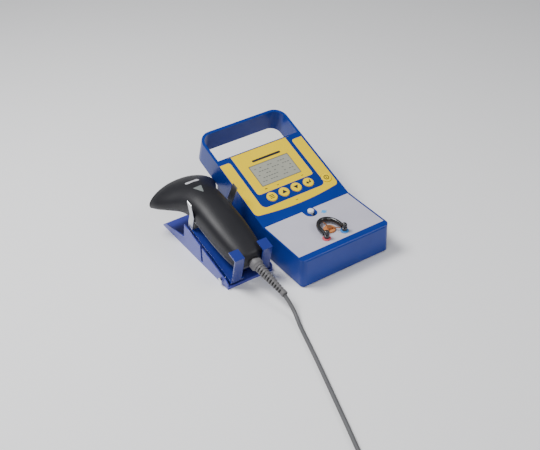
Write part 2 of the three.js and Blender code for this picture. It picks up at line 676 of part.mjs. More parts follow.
// Cord ---------------------------------------------------------------------------------------------------
// The strain relief: a collar and a tapered grip cut by a row of slots on each side.
function strainRelief() {
  const { w, start, length, collar, tip } = BOOT;
  const bore = 2.35;
  const end = start - length;
  const profile = [
    [0, end + 3], [bore, end + 3], [bore, end], [tip, end], [tip + 0.4, end + 3],
    [5.2, -12], [5.4, -8], [collar, -6], [collar, -1.4], [4.2, -1.4], [4.2, 6], [0, 6],
  ];
  let body = solid(lathe(profile, 16));
  for (let i = 0; i < 9; i++) {
    const z = -13 - i * 3.4;
    for (const side of [-1, 1]) {
      const offset = 3.3 + (z + 13) * 0.035;
      const cut = new THREE.BoxGeometry(4, 12, 1.3).translate(side * (offset + 2), 0, z);
      body = body.subtract(solid(cut));
    }
  }
  const turned = shell(body).rotateX(-Math.PI / 2 - BOOT.pitch).rotateZ(BOOT.yaw);
  return turned.translate(0, 0, w);
}

function cordTube(points, steps) {
  const path = new THREE.CatmullRomCurve3(
    points.map(([x, y, z]) => new THREE.Vector3(x, y, z)), false, "centripetal",
  );
  const section = new THREE.Shape();
  section.absarc(0, 0, CORD.diameter / 2 - 0.02, 0, 2 * Math.PI);
  return new THREE.ExtrudeGeometry(section, { steps, extrudePath: path, curveSegments: 4 });
}

// The outer shape of the coiled length.
function cordCoil() {
  const { diameter, coilMean, across, layers, coilX, coilY, lift } = CORD;
  const half = (across * diameter) / 2 + 0.2;
  const z0 = lift;
  const z1 = lift + layers * diameter + 0.3;
  const ring = [
    [coilMean - half, z0], [coilMean + half, z0], [coilMean + half, z1],
    [coilMean - half, z1], [coilMean - half, z0],
  ];
  return lathe(ring, 32).translate(coilX, coilY, 0);
}

// The tie: a flat loop right round the coil's turns.
function cordTie() {
  const { diameter, coilMean, across, layers, coilX, coilY, lift } = CORD;
  const half = (across * diameter) / 2 + 0.5;
  const top = lift + layers * diameter + 0.6;
  const outer = solid(box(-2.5, 2.5, -half - 0.6, half + 0.6, 0, top + 0.6));
  const inner = solid(box(-3, 3, -half, half, 0.6, top));
  return shell(outer.subtract(inner)).translate(coilX, coilY - coilMean, 0);
}

// The plug's moulded grip, with a neck towards the cord.
function plugBody() {
  const { x, start, z, length, width, height } = PLUG;
  const h = height / 2;
  const outline = roundedRect(-width / 2, width / 2, 7, length, [3, 3, 1, 1]);
  const neck = solid(new THREE.CylinderGeometry(3.6, 2.8, 8, 12).translate(0, 4, 0));
  const grip = solid(slab(outline, -h, h, 4));
  return shell(neck.add(grip)).translate(x, start, z);
}

function plugShell() {
  const { x, start, z, length } = PLUG;
  const y0 = length + GAP;
  const tube = solid(box(-6, 6, y0, y0 + 12, -2.3, 2.3));
  return shell(tube.subtract(solid(box(-5.4, 5.4, y0 + 3, y0 + 13, 0.2, 1.8)))).translate(x, start, z);
}

// Assembly -----------------------------------------------------------------------------------------------
function caseAssembly() {
  const satinBlue = material("blue", 0.4);
  const rubber = material("black", 0.9);
  const bright = material("chrome", 0.15, 1);
  const all = new THREE.Group();
  all.add(
    piece("case_shell", caseShell(), satinBlue),
    piece("bottom_cover", bottomCover(), material("navy", 0.6)),
    piece("battery_door", batteryDoor(), material("navy", 0.6)),
    piece("battery", battery(), material("charcoal", 0.4)),
    piece("battery_snap", batterySnap(), rubber),
    piece("sensor_plate", sensorPlate(), material("lilac", 0.5)),
    piece("sensor_guard", sensorGuard(), material("black", 0.35)),
    piece("thermocouple", thermocouple(), material("copper", 0.4, 0.8)),
    piece("heat_pad", heatPad(), material("copper", 0.8)),
    piece("slide_lever", slideLever(), material("white", 0.3)),
    piece("lever_spring", leverSpring(), material("steel", 0.3, 1)),
  );
  const sides = [["left", -1, "red"], ["right", 1, "sky"]];
  for (const [name, side, color] of sides) {
    const x = SENSOR.x + (side * SENSOR.spacing) / 2;
    all.add(piece(`${name}_terminal`, terminalPost(x), bright));
    all.add(piece(`${name}_terminal_ring`, terminalRing(x), material(color, 0.5)));
  }
  SCREW_PLACES.forEach(([x, y], i) => {
    all.add(piece(`case_screw_${i + 1}`, caseScrew(x, y), material("steel", 0.35, 1)));
    const inward = y < DISPLAY.start ? 12 : -12;
    all.add(piece(`foot_${i + 1}`, post(x, y + inward, 0, CASE.bottom - 0.1, 5, 4.6, 20), rubber));
  });
  const display = new THREE.Group();
  display.add(
    piece("display_overlay", displayOverlay(), material("yellow", 0.45)),
    piece("lcd_window", lcdWindow(), material("glass", 0.15)),
    piece("lcd_module", lcdModule(), material("glass", 0.5)),
    piece("main_board", mainBoard(), material("green", 0.5)),
    piece("power_key", keyCap(...KEY.power), material("yellow", 0.5)),
  );
  KEY.xs.forEach((x, i) => {
    display.add(piece(KEY_NAMES[i], keyCap(x, KEY.row), material("yellow", 0.5)));
  });
  display.position.set(0, DISPLAY.start, CASE.height);
  display.rotation.x = DISPLAY.tilt;
  all.add(display);
  return all;
}

function handsetAssembly() {
  const all = new THREE.Group();
  const dark = material("black", 0.45);
  all.add(
    piece("handset_top", handsetTop(), dark),
    piece("handset_bottom", handsetBottom(), material("charcoal", 0.55)),
    piece("scan_window", scanWindow(), material("red", 0.1)),
    piece("trigger", trigger(), dark),
    piece("trigger_spring", triggerSpring(), material("steel", 0.3, 1)),
    piece("scan_board", scanBoard(), material("green", 0.5)),
    piece("scan_engine", scanEngine(), material("charcoal", 0.5)),
    piece("indicator_lens", indicatorLens(), material("grey", 0.3)),
    piece("name_badge", nameBadge(), material("white", 0.3)),
    piece("strain_relief", strainRelief(), material("grey", 0.6)),
  );
  HANDSET.screws.forEach((v, i) => {
    all.add(piece(`handset_screw_${i + 1}`, handsetScrew(v), material("steel", 0.35, 1)));
  });
  all.position.x = HANDSET.x;
  all.rotation.z = HANDSET.yaw;
  return all;
}

function cradleAssembly() {
  const paint = material("cradle", 0.35);
  const bright = material("steel", 0.2, 1);
  const all = new THREE.Group();
  all.add(piece("cradle_base", cradleBase(), paint));
  all.add(piece("left_pivot_screw", pivotScrew(-1), bright));
  all.add(piece("right_pivot_screw", pivotScrew(1), bright));
  const tilted = new THREE.Group();
  tilted.add(
    piece("tray", tray(), paint),
    piece("spring_clip", springClip(), bright),
    piece("clip_rivet", clipRivet(), bright),
    handsetAssembly(),
  );
  tilted.position.set(0, TRAY.y, TRAY.z);
  tilted.rotation.x = TRAY.tilt;
  all.add(tilted);
  all.position.x = CRADLE.x;
  return all;
}

function cordAssembly() {
  const jacket = material("grey", 0.6);
  const moulded = material("charcoal", 0.5);
  const all = new THREE.Group();
  all.add(
    piece("cord_lead", cordTube(LEAD_POINTS, 8), jacket),
    piece("cord_tube", cordTube(CORD_POINTS, 22), jacket),
    piece("cord_coil", cordCoil(), jacket),
    piece("cord_tail", cordTube(TAIL_POINTS, 2), jacket),
    piece("cord_tie", cordTie(), moulded),
    piece("plug_body", plugBody(), moulded),
    piece("plug_shell", plugShell(), material("steel", 0.25, 1)),
  );
  return all;
}

const group = new THREE.Group();
group.add(caseAssembly(), cradleAssembly(), cordAssembly());
group.position.set(CASE.left, CASE.front, 0);

export default group;
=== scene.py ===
"""Soldering tip thermometer and a touch scanner in its cradle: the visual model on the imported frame.

Lengths in the classes are millimetres in each assembly's own axes; MM turns them into metres.
"""

import json
import logging
import math
from dataclasses import dataclass, field
from enum import Enum
from functools import cached_property
from typing import Callable, Optional, Sequence

import bmesh
import bpy
from bmesh.types import BMesh, BMVert
from bpy.types import Material, Mesh, Node, NodeTree, Object
from mathutils import Matrix, Vector
from mathutils.bvhtree import BVHTree

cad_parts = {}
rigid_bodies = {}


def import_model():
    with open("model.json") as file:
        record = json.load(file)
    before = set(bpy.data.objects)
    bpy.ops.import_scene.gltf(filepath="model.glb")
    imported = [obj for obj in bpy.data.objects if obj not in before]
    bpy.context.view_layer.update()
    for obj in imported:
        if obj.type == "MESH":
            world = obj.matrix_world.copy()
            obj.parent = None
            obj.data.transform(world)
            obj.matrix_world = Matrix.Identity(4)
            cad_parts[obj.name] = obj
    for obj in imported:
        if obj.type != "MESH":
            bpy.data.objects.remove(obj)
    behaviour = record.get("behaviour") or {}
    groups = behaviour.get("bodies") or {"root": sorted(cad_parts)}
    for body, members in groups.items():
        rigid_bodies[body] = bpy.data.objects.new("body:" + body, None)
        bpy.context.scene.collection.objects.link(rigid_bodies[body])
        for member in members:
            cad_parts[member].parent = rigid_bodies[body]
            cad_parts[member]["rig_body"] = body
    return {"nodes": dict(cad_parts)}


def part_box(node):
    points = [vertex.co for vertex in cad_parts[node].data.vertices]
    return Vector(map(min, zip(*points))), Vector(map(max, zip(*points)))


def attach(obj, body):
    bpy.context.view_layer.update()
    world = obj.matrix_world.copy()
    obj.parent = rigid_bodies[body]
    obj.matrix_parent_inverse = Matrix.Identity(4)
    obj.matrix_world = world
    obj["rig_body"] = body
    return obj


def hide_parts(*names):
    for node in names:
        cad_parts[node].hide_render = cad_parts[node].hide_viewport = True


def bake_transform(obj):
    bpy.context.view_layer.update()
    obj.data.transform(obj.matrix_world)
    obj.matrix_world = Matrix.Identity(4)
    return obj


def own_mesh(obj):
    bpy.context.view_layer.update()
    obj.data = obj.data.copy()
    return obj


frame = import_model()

MM = 0.001
LOG = logging.getLogger("tester")
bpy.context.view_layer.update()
MERGE_GAP = 2e-6  # CAD corners closer than this, in metres, are one corner
FLAT_ANGLE = math.radians(0.6)  # faces that meet at less are one face
HARD_ANGLE = math.radians(32)  # edges over this are rounded
ON_AXIS = 1e-6  # a radius under this is a tip
Point = Sequence[float]
Outline = list[tuple[float, float]]


def place(x: float, y: float, z: float, tilt: float = 0.0, turn: float = 0.0) -> Matrix:
    """A place given in millimetres, tilted about X and turned about Z, in degrees.

    Returns:
        The matrix, in metres.
    """
    spin = Matrix.Rotation(math.radians(tilt), 4, "X") @ Matrix.Rotation(math.radians(turn), 4, "Z")
    return Matrix.Translation(Vector((x, y, z)) * MM) @ spin


CASE_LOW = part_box("case_shell")[0]
CASE_AT = Matrix.Translation(Vector((CASE_LOW.x, CASE_LOW.y, 0)))
DISPLAY_AT = CASE_AT @ place(0, 67.8, 32.8, tilt=19.7)
DECK_AT = CASE_AT @ place(0, 0, 32.8)
CRADLE_AT = CASE_AT @ place(-33.4, 0, 0)
TRAY_AT = CRADLE_AT @ place(0, 40.1, 7.4, tilt=15.8)
HANDSET_AT = TRAY_AT @ place(1.2, 0, 0, turn=math.degrees(0.035))


# Node trees
def new_group(kind: str, name: str, inputs: dict[str, object], output: str, output_type: str) -> tuple:
    """Makes an empty node group with named sockets.

    Args:
        kind: the type of tree.
        name: its name.
        inputs: each input's first value, which sets its type, or the type's name where it has none.
        output: the output's name.
        output_type: its socket type.

    Returns:
        The tree, its input node and its output node.
    """
    types = {float: "NodeSocketFloat", int: "NodeSocketInt", tuple: "NodeSocketColor"}
    tree = bpy.data.node_groups.new(name, kind)
    for label, value in inputs.items():
        typed = isinstance(value, str)
        socket_type = value if typed else types[type(value)]
        socket = tree.interface.new_socket(label, in_out="INPUT", socket_type=socket_type)
        if not typed:
            socket.default_value = value
    tree.interface.new_socket(output, in_out="OUTPUT", socket_type=output_type)
    return tree, tree.nodes.new("NodeGroupInput"), tree.nodes.new("NodeGroupOutput")


def set_inputs(node: Node, values: dict) -> None:
    """Sets a node's inputs, each by its name or its index."""
    for label, value in values.items():
        node.inputs[label].default_value = value


def add_node(tree: NodeTree, kind: str, values: Optional[dict] = None, **settings: object) -> Node:
    """Adds a node to a tree.

    Args:
        tree: the tree.
        kind: the type of node.
        values: the values of its inputs, by name or index.
        **settings: its own settings, which come before the inputs.

    Returns:
        The node.
    """
    node = tree.nodes.new(kind)
    for label, value in settings.items():
        setattr(node, label, value)
    set_inputs(node, values or {})
    return node


def wire(tree: NodeTree, *links: tuple) -> None:
    """Links outputs to inputs, each link given as (node, output, node, input)."""
    for source, output, target, entry in links:
        tree.links.new(source.outputs[output], target.inputs[entry])


class Effect(Enum):
    """The shader node groups that more than one finish uses."""

    TONE = "tone drift"
    GRAIN = "moulded grain"
    HANDLING = "handling marks"
    BRUSH = "brushed lines"


class EffectLibrary:
    """Builds each shared shader group once and hands it out."""

    def __init__(self) -> None:
        """Starts with no group built."""
        self.made: dict[Effect, NodeTree] = {}
        self.builders: dict[Effect, Callable[[], NodeTree]] = {
            Effect.TONE: self._tone,
            Effect.GRAIN: self._grain,
            Effect.HANDLING: self._handling,
            Effect.BRUSH: self._brush,
        }

    def group(self, effect: Effect) -> NodeTree:
        """The node group for an effect, built on first use.

        Args:
            effect: which one.

        Returns:
            The shader node group.
        """
        if effect not in self.made:
            self.made[effect] = self.builders[effect]()
        return self.made[effect]

    @staticmethod
    def _start(effect: Effect, inputs: dict, output: str, kind: str = "NodeSocketFloat") -> tuple:
        """An empty shader group."""
        return new_group("ShaderNodeTree", effect.value, inputs, output, kind)

    @staticmethod
    def _noise(tree: NodeTree, start: Node, scale: str, detail: float) -> Node:
        """A noise texture on Object coordinates whose scale comes from a named input."""
        where = add_node(tree, "ShaderNodeTexCoord")
        noise = add_node(tree, "ShaderNodeTexNoise", {"Detail": detail})
        wire(tree, (where, "Object", noise, "Vector"), (start, scale, noise, "Scale"))
        return noise

    def _tone(self) -> NodeTree:
        """Two colours mixed by a slow cloud, with a little fine speckle."""
        inputs = {
            "Color": (0.5, 0.5, 0.5, 1),
            "Second": (0.4, 0.4, 0.4, 1),
            "Scale": 30.0,
            "Speckle Scale": 1500.0,
        }
        tree, start, end = self._start(Effect.TONE, inputs, "Color", "NodeSocketColor")
        cloud = self._noise(tree, start, "Scale", 3)
        speckle = self._noise(tree, start, "Speckle Scale", 1)
        speckle_share = 0.35
        blend = add_node(tree, "ShaderNodeMath", {1: speckle_share}, operation="MULTIPLY_ADD")
        ramp = add_node(tree, "ShaderNodeMapRange", {"From Min": 0.45, "From Max": 0.9})
        mix = add_node(tree, "ShaderNodeMix", data_type="RGBA")
        wire(tree, (speckle, "Fac", blend, 0), (cloud, "Fac", blend, 2), (blend, "Value", ramp, "Value"),
             (ramp, "Result", mix, "Factor"), (start, "Color", mix, "A"), (start, "Second", mix, "B"),
             (mix, "Result", end, "Color"))
        return tree

    def _grain(self) -> NodeTree:
        """A fine cell-and-cloud height, like spark-eroded or leather-grain moulding."""
        tree, start, end = self._start(Effect.GRAIN, {"Scale": 1800.0}, "Height")
        where = add_node(tree, "ShaderNodeTexCoord")
        cells = add_node(tree, "ShaderNodeTexVoronoi")
        cloud = self._noise(tree, start, "Scale", 2)
        total = add_node(tree, "ShaderNodeMath", operation="ADD")
        wire(tree, (where, "Object", cells, "Vector"), (start, "Scale", cells, "Scale"),
             (cells, "Distance", total, 0), (cloud, "Fac", total, 1), (total, "Value", end, "Height"))
        return tree

    def _handling(self) -> NodeTree:
        """Roughness that drifts where hands and cloths have polished or dulled the surface."""
        inputs = {"Roughness": 0.4, "Spread": 0.1, "Scale": 45.0}
        tree, start, end = self._start(Effect.HANDLING, inputs, "Roughness")
        cloud = self._noise(tree, start, "Scale", 5)
        centred = add_node(tree, "ShaderNodeMath", {1: 0.5}, operation="SUBTRACT")
        spread = add_node(tree, "ShaderNodeMath", operation="MULTIPLY_ADD")
        wire(tree, (cloud, "Fac", centred, 0), (centred, "Value", spread, 0), (start, "Spread", spread, 1),
             (start, "Roughness", spread, 2), (spread, "Value", end, "Roughness"))
        return tree

    def _brush(self) -> NodeTree:
        """Fine lines drawn out along Y, as on rolled or brushed metal."""
        tree, start, end = self._start(Effect.BRUSH, {"Scale": 900.0}, "Height")
        where = add_node(tree, "ShaderNodeTexCoord")
        stretch = add_node(tree, "ShaderNodeVectorMath", {1: (1, 0.04, 1)}, operation="MULTIPLY")
        noise = add_node(tree, "ShaderNodeTexNoise")
        wire(tree, (where, "Object", stretch, 0), (stretch, "Vector", noise, "Vector"),
             (start, "Scale", noise, "Scale"), (noise, "Fac", end, "Height"))
        return tree


EFFECTS = EffectLibrary()


@dataclass(frozen=True)
class Finish:
    """One surface finish, made into a material on first use; its slot name is kept but not used."""

    name: str
    color: tuple[float, float, float]
    second: tuple[float, float, float]
    roughness: float
    slot: str = ""
    spread: float = 0.12
    tone_scale: float = 35.0
    grain_scale: float = 1800.0
    grain_depth: float = 0.00004
    metallic: float = 0.0
    coat: float = 0.0
    coat_roughness: float = 0.12
    specular: float = 0.5
    sheen: float = 0.0
    brushed: bool = False
    bump: float = 0.6

    def material(self) -> Material:
        """The material, built once.

        Returns:
            The material with this finish's name.
        """
        label = f"finish_{self.name}"
        known = bpy.data.materials.get(label)
        if known is not None:
            return known
        made = bpy.data.materials.new(label)
        made.use_nodes = True
        tree = made.node_tree
        shader = tree.nodes["Principled BSDF"]
        set_inputs(shader, {
            "Metallic": self.metallic,
            "Coat Weight": self.coat,
            "Coat Roughness": self.coat_roughness,
            "Specular IOR Level": self.specular,
            "Sheen Weight": self.sheen,
        })
        colors = {"Color": (*self.color, 1), "Second": (*self.second, 1), "Scale": self.tone_scale}
        tone = self._add(tree, Effect.TONE, colors)
        marks = self._add(tree, Effect.HANDLING, {"Roughness": self.roughness, "Spread": self.spread})
        lines = Effect.BRUSH if self.brushed else Effect.GRAIN
        relief = self._add(tree, lines, {"Scale": self.grain_scale})
        bump = add_node(tree, "ShaderNodeBump", {"Strength": self.bump, "Distance": self.grain_depth})
        wire(tree, (tone, "Color", shader, "Base Color"), (marks, "Roughness", shader, "Roughness"),
             (relief, "Height", bump, "Height"), (bump, "Normal", shader, "Normal"))
        return made

    @staticmethod
    def _add(tree: NodeTree, effect: Effect, values: dict[str, object]) -> Node:
        """Places a shared effect in a material."""
        return add_node(tree, "ShaderNodeGroup", values, node_tree=EFFECTS.group(effect))


class Finishes:
    """The finishes of this object, by the part of it that wears them."""

    case_blue = Finish("case_blue", (0.002, 0.024, 0.22), (0.003, 0.03, 0.26), 0.33, coat=0.12,
                       specular=0.3, grain_scale=2600, grain_depth=0.00002)
    navy = Finish("navy_cover", (0.01, 0.035, 0.17), (0.013, 0.045, 0.2), 0.55, "navy_plastic")
    yellow = Finish("membrane_yellow", (0.86, 0.61, 0.0), (0.81, 0.57, 0.0), 0.55,
                    specular=0.08, grain_scale=3200, grain_depth=0.000015)
    print_blue = Finish("membrane_blue", (0.002, 0.022, 0.2), (0.003, 0.027, 0.23), 0.4, "membrane_yellow",
                        specular=0.3, grain_scale=3200, grain_depth=0.000015)
    print_dark = Finish("membrane_dark", (0.012, 0.014, 0.03), (0.018, 0.02, 0.04), 0.4, "membrane_yellow")
    key = Finish("key_yellow", (0.92, 0.66, 0.0), (0.87, 0.62, 0.0), 0.5, specular=0.12)
    lcd = Finish("display_grey", (0.33, 0.335, 0.28), (0.36, 0.36, 0.3), 0.2, "lcd_glass", coat=0.6,
                 grain_depth=0.000004)
    lcd_dark = Finish("display_segment", (0.17, 0.175, 0.16), (0.15, 0.155, 0.14), 0.3, "lcd_panel")
    panel = Finish("display_module", (0.3, 0.32, 0.28), (0.26, 0.28, 0.24), 0.5, "lcd_panel")
    board = Finish("board_green", (0.02, 0.14, 0.05), (0.03, 0.18, 0.07), 0.4)
    cell = Finish("battery_case", (0.03, 0.03, 0.035), (0.05, 0.05, 0.06), 0.35, "battery_dark")
    foot = Finish("foot_rubber", (0.015, 0.015, 0.016), (0.022, 0.022, 0.024), 0.85, sheen=0.2)
    plate = Finish("plate_lilac", (0.50, 0.49, 0.58), (0.54, 0.53, 0.62), 0.5,
                   grain_scale=2400, grain_depth=0.00002)
    guard = Finish("guard_black", (0.012, 0.012, 0.014), (0.02, 0.02, 0.023), 0.26, coat=0.4)
    copper = Finish("sensor_alloy", (0.62, 0.28, 0.13), (0.5, 0.2, 0.08), 0.38, "sensor_copper", metallic=0.8)
    pad = Finish("pad_orange", (0.55, 0.19, 0.05), (0.62, 0.27, 0.1), 0.8, grain_scale=1400,
                 grain_depth=0.00015)
    white = Finish("lever_white", (0.82, 0.82, 0.8), (0.77, 0.77, 0.76), 0.22, coat=0.5)
    knob = Finish("terminal_knob", (0.012, 0.012, 0.014), (0.018, 0.018, 0.021), 0.12, "terminal_chrome",
                  coat=0.7, grain_depth=0.000004)
    steel = Finish("bright_steel", (0.72, 0.73, 0.75), (0.62, 0.63, 0.65), 0.34, metallic=1.0,
                   brushed=True, grain_depth=0.00003)
    chrome = Finish("terminal_chrome", (0.8, 0.81, 0.83), (0.74, 0.75, 0.78), 0.09,
                    metallic=1.0, spread=0.05, grain_depth=0.000004)
    ring_red = Finish("ring_red", (0.62, 0.07, 0.11), (0.7, 0.12, 0.15), 0.5)
    ring_blue = Finish("ring_blue", (0.05, 0.25, 0.68), (0.07, 0.3, 0.72), 0.5)
    cradle = Finish("cradle_violet", (0.04, 0.05, 0.33), (0.05, 0.062, 0.38), 0.36, "cradle_paint",
                    grain_scale=1500, grain_depth=0.00003, coat=0.2)
    tray = Finish("tray_blue", (0.012, 0.025, 0.2), (0.016, 0.032, 0.23), 0.22, "tray_paint", coat=0.5,
                  grain_scale=1300, grain_depth=0.00002)
    handset = Finish("handset_black", (0.009, 0.009, 0.012), (0.013, 0.013, 0.017), 0.48,
                     specular=0.4, grain_scale=1700, grain_depth=0.00006)
    shell_grey = Finish("handset_grey", (0.06, 0.06, 0.066), (0.075, 0.075, 0.082), 0.4,
                        grain_depth=0.00003)
    window = Finish("scan_red", (0.09, 0.003, 0.006), (0.13, 0.005, 0.01), 0.06, coat=0.8,
                    grain_depth=0.000003)
    lens = Finish("indicator_frost", (0.17, 0.19, 0.19), (0.22, 0.24, 0.23), 0.3, "lens_grey", coat=0.4)
    badge = Finish("badge_bright", (0.62, 0.62, 0.66), (0.7, 0.7, 0.73), 0.22, "badge_white", coat=0.4)
    relief = Finish("relief_grey", (0.12, 0.117, 0.122), (0.145, 0.14, 0.146), 0.5, sheen=0.1)
    # painted shade: the core is the same grey as the grip, painted near-black to stand for the shade between
    # the ribs
    relief_painted_shade = Finish("relief_core", (0.012, 0.012, 0.013), (0.017, 0.017, 0.018), 0.8, "relief_grey")
    cord = Finish("cord_jacket", (0.09, 0.09, 0.095), (0.11, 0.11, 0.115), 0.5, "cord_grey",
                  grain_depth=0.00003)
    plug = Finish("plug_black", (0.018, 0.018, 0.02), (0.026, 0.026, 0.03), 0.45)
    icon = Finish("icon_sky", (0.05, 0.33, 0.75), (0.07, 0.38, 0.8), 0.5, "ring_blue")


# Mesh making
def add_object(name: str, data: object) -> Object:
    """Puts an object with this data into the scene."""
    made = bpy.data.objects.new(name, data)
    bpy.context.scene.collection.objects.link(made)
    return made


def take_shape(holder: Object) -> BMesh:
    """The evaluated geometry of a helper object, which is removed."""
    bpy.context.view_layer.update()
    graph = bpy.context.evaluated_depsgraph_get()
    mesh = bpy.data.meshes.new_from_object(holder.evaluated_get(graph))
    bpy.data.objects.remove(holder)
    bm = bmesh.new()
    bm.from_mesh(mesh)
    return bm


def to_mesh(bm: BMesh, at: Optional[Matrix] = None) -> Mesh:
    """Turns working geometry in millimetres into a mesh in metres, in the row frame.

    Args:
        bm: the working geometry, freed here.
        at: the assembly's place, or None where the points stay as they are.

    Returns:
        The finished mesh.
    """
    if at is not None:
        bmesh.ops.transform(bm, matrix=at @ Matrix.Scale(MM, 4), verts=bm.verts)
    mesh = bpy.data.meshes.new("shape")
    bm.to_mesh(mesh)
    bm.free()
    return mesh


def add_piece(
    name: str, mesh: Mesh, finish: Finish, body: Optional[str], *replaces: str, sharp: float = 38.0
) -> Object:
    """Puts a finished mesh into the scene as a piece of the object.

    Args:
        name: the piece's name.
        mesh: its mesh, in metres, in the row frame.
        finish: its finish.
        body: the CAD body it rides on, or None for a piece that rides on no body.
        *replaces: the CAD nodes that it stands for.
        sharp: edges over this angle, in degrees, stay sharp.

    Returns:
        The new object.
    """
    mesh.name = name
    mesh.materials.clear()
    mesh.materials.append(finish.material())
    mesh.polygons.foreach_set("use_smooth", [True] * len(mesh.polygons))
    mesh.set_sharp_from_angle(angle=math.radians(sharp))
    piece = add_object(name, mesh)
    if body is not None:
        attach(piece, body)
    if replaces:
        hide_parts(*replaces)
    LOG.info("%s: %d faces, stands for %s", name, len(mesh.polygons), replaces or "nothing")
    return piece


def softened(node: str, finish: Finish, width: float, segments: int = 2) -> Object:
    """A copy of a CAD node with its loose triangles merged and its edges rounded.

    Args:
        node: the CAD node.
        finish: its finish.
        width: the rounding, in millimetres.
        segments: the faces across each rounding.

    Returns:
        The piece that stands for the node.
    """
    source = frame["nodes"][node]
    bm = bmesh.new()
    bm.from_mesh(source.data)
    bmesh.ops.remove_doubles(bm, verts=bm.verts, dist=MERGE_GAP)
    bmesh.ops.dissolve_limit(bm, angle_limit=FLAT_ANGLE, verts=bm.verts, edges=bm.edges)
    hard = [e for e in bm.edges if len(e.link_faces) == 2 and e.calc_face_angle(0) > HARD_ANGLE]
    bmesh.ops.bevel(bm, geom=hard, offset=width * MM, segments=segments, profile=0.5,
                    affect="EDGES", clamp_overlap=True)
    bmesh.ops.triangulate(bm, faces=[f for f in bm.faces if len(f.verts) > 4])
    piece = add_piece(f"{node}_shown", to_mesh(bm), finish, source["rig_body"], node, sharp=30)
    flattened = piece.modifiers.new("flat_faces", "WEIGHTED_NORMAL")
    flattened.keep_sharp = True
    return piece


def bridge(bm: BMesh, rings: Sequence[Sequence[BMVert]]) -> None:
    """Joins each ring of corners to the next with faces; a ring of one corner is a tip."""
    for low, high in zip(rings, rings[1:]):
        count = max(len(low), len(high))
        for i in range(count):
            j = (i + 1) % count
            corners = [low[i % len(low)], low[j % len(low)], high[j % len(high)], high[i % len(high)]]
            unique = list(dict.fromkeys(corners))
            if len(unique) > 2:
                bm.faces.new(unique)


def revolve(profile: Sequence[Point], sides: int = 48) -> BMesh:
    """A body turned about Z from (radius, height) points.

    Args:
        profile: the points; where one has no radius, the body ends in a tip on the axis.
        sides: the faces round it.

    Returns:
        The working geometry, in millimetres.
    """
    bm = bmesh.new()
    rings: list[list[BMVert]] = []
    for radius, height in profile:
        if radius < ON_AXIS:
            rings.append([bm.verts.new((0, 0, height))])
            continue
        steps = (2 * math.pi * i / sides for i in range(sides))
        rings.append([bm.verts.new((radius * math.cos(a), radius * math.sin(a), height)) for a in steps])
    bridge(bm, rings)
    bmesh.ops.recalc_face_normals(bm, faces=bm.faces)
    return bm


def rounded(radius: float, centre: Point, start: float, end: float, count: int = 6) -> Outline:
    """Points on an arc, for outlines and profiles.

    Args:
        radius: the arc's radius.
        centre: its centre.
        start: the first angle, in degrees.
        end: the last angle, in degrees.
        count: the steps along it.

    Returns:
        The points, ends included.
    """
    angles = (math.radians(start + (end - start) * i / count) for i in range(count + 1))
    return [(centre[0] + radius * math.cos(a), centre[1] + radius * math.sin(a)) for a in angles]


def rounded_box(x0: float, x1: float, y0: float, y1: float, r: float) -> Outline:
    """The outline of a rectangle with round corners."""
    return [
        *rounded(r, (x0 + r, y0 + r), 180, 270),
        *rounded(r, (x1 - r, y0 + r), 270, 360),
        *rounded(r, (x1 - r, y1 - r), 0, 90),
        *rounded(r, (x0 + r, y1 - r), 90, 180),
    ]


def circle(radius: float, sides: int) -> Outline:
    """A round section."""
    return rounded(radius, (0, 0), 0, 360 * (sides - 1) / sides, sides - 1)


def flat_shape(outlines: Sequence[Sequence[Point]], low: float, high: float, at: Matrix) -> Mesh:
    """A thin slab from closed outlines, where an outline inside another is a hole.

    Args:
        outlines: closed outlines, in millimetres, in the assembly's X and Y.
        low: the slab's underside, in millimetres.
        high: its top.
        at: the assembly's place.

    Returns:
        The mesh, in metres, in the row frame.
    """
    data = bpy.data.curves.new("outline", "CURVE")
    data.dimensions = "2D"
    data.fill_mode = "BOTH"
    data.extrude = (high - low) / 2
    for outline in outlines:
        line = data.splines.new("POLY")
        line.points.add(len(outline) - 1)
        for point, (x, y) in zip(line.points, outline):
            point.co = (x, y, 0, 1)
        line.use_cyclic_u = True
    bm = take_shape(add_object("outline", data))
    bmesh.ops.remove_doubles(bm, verts=bm.verts, dist=1e-4)
    bmesh.ops.recalc_face_normals(bm, faces=bm.faces)
    bmesh.ops.translate(bm, verts=bm.verts, vec=(0, 0, (low + high) / 2))
    return to_mesh(bm, at)


def smooth_line(points: Sequence[Point], steps: int = 8) -> list[Vector]:
    """A smooth curve through points: a centripetal spline.

    Args:
        points: the points that it passes through.
        steps: the steps between two of them.

    Returns:
        The curve's points.
    """
    knots = [Vector(p) for p in points]
    knots = [2 * knots[0] - knots[1], *knots, 2 * knots[-1] - knots[-2]]
    line: list[Vector] = []
    for a, b, c, d in zip(knots, knots[1:], knots[2:], knots[3:]):
        t1 = math.sqrt((b - a).length)
        t2 = t1 + math.sqrt((c - b).length)
        t3 = t2 + math.sqrt((d - c).length)
        for i in range(steps):
            t = t1 + (t2 - t1) * i / steps
            ab = a.lerp(b, t / t1)
            bc = b.lerp(c, (t - t1) / (t2 - t1))
            cd = c.lerp(d, (t - t2) / (t3 - t2))
            abc = ab.lerp(bc, t / t2)
            bcd = bc.lerp(cd, (t - t1) / (t3 - t1))
            line.append(abc.lerp(bcd, (t - t1) / (t2 - t1)))
    line.append(knots[-2])
    return line


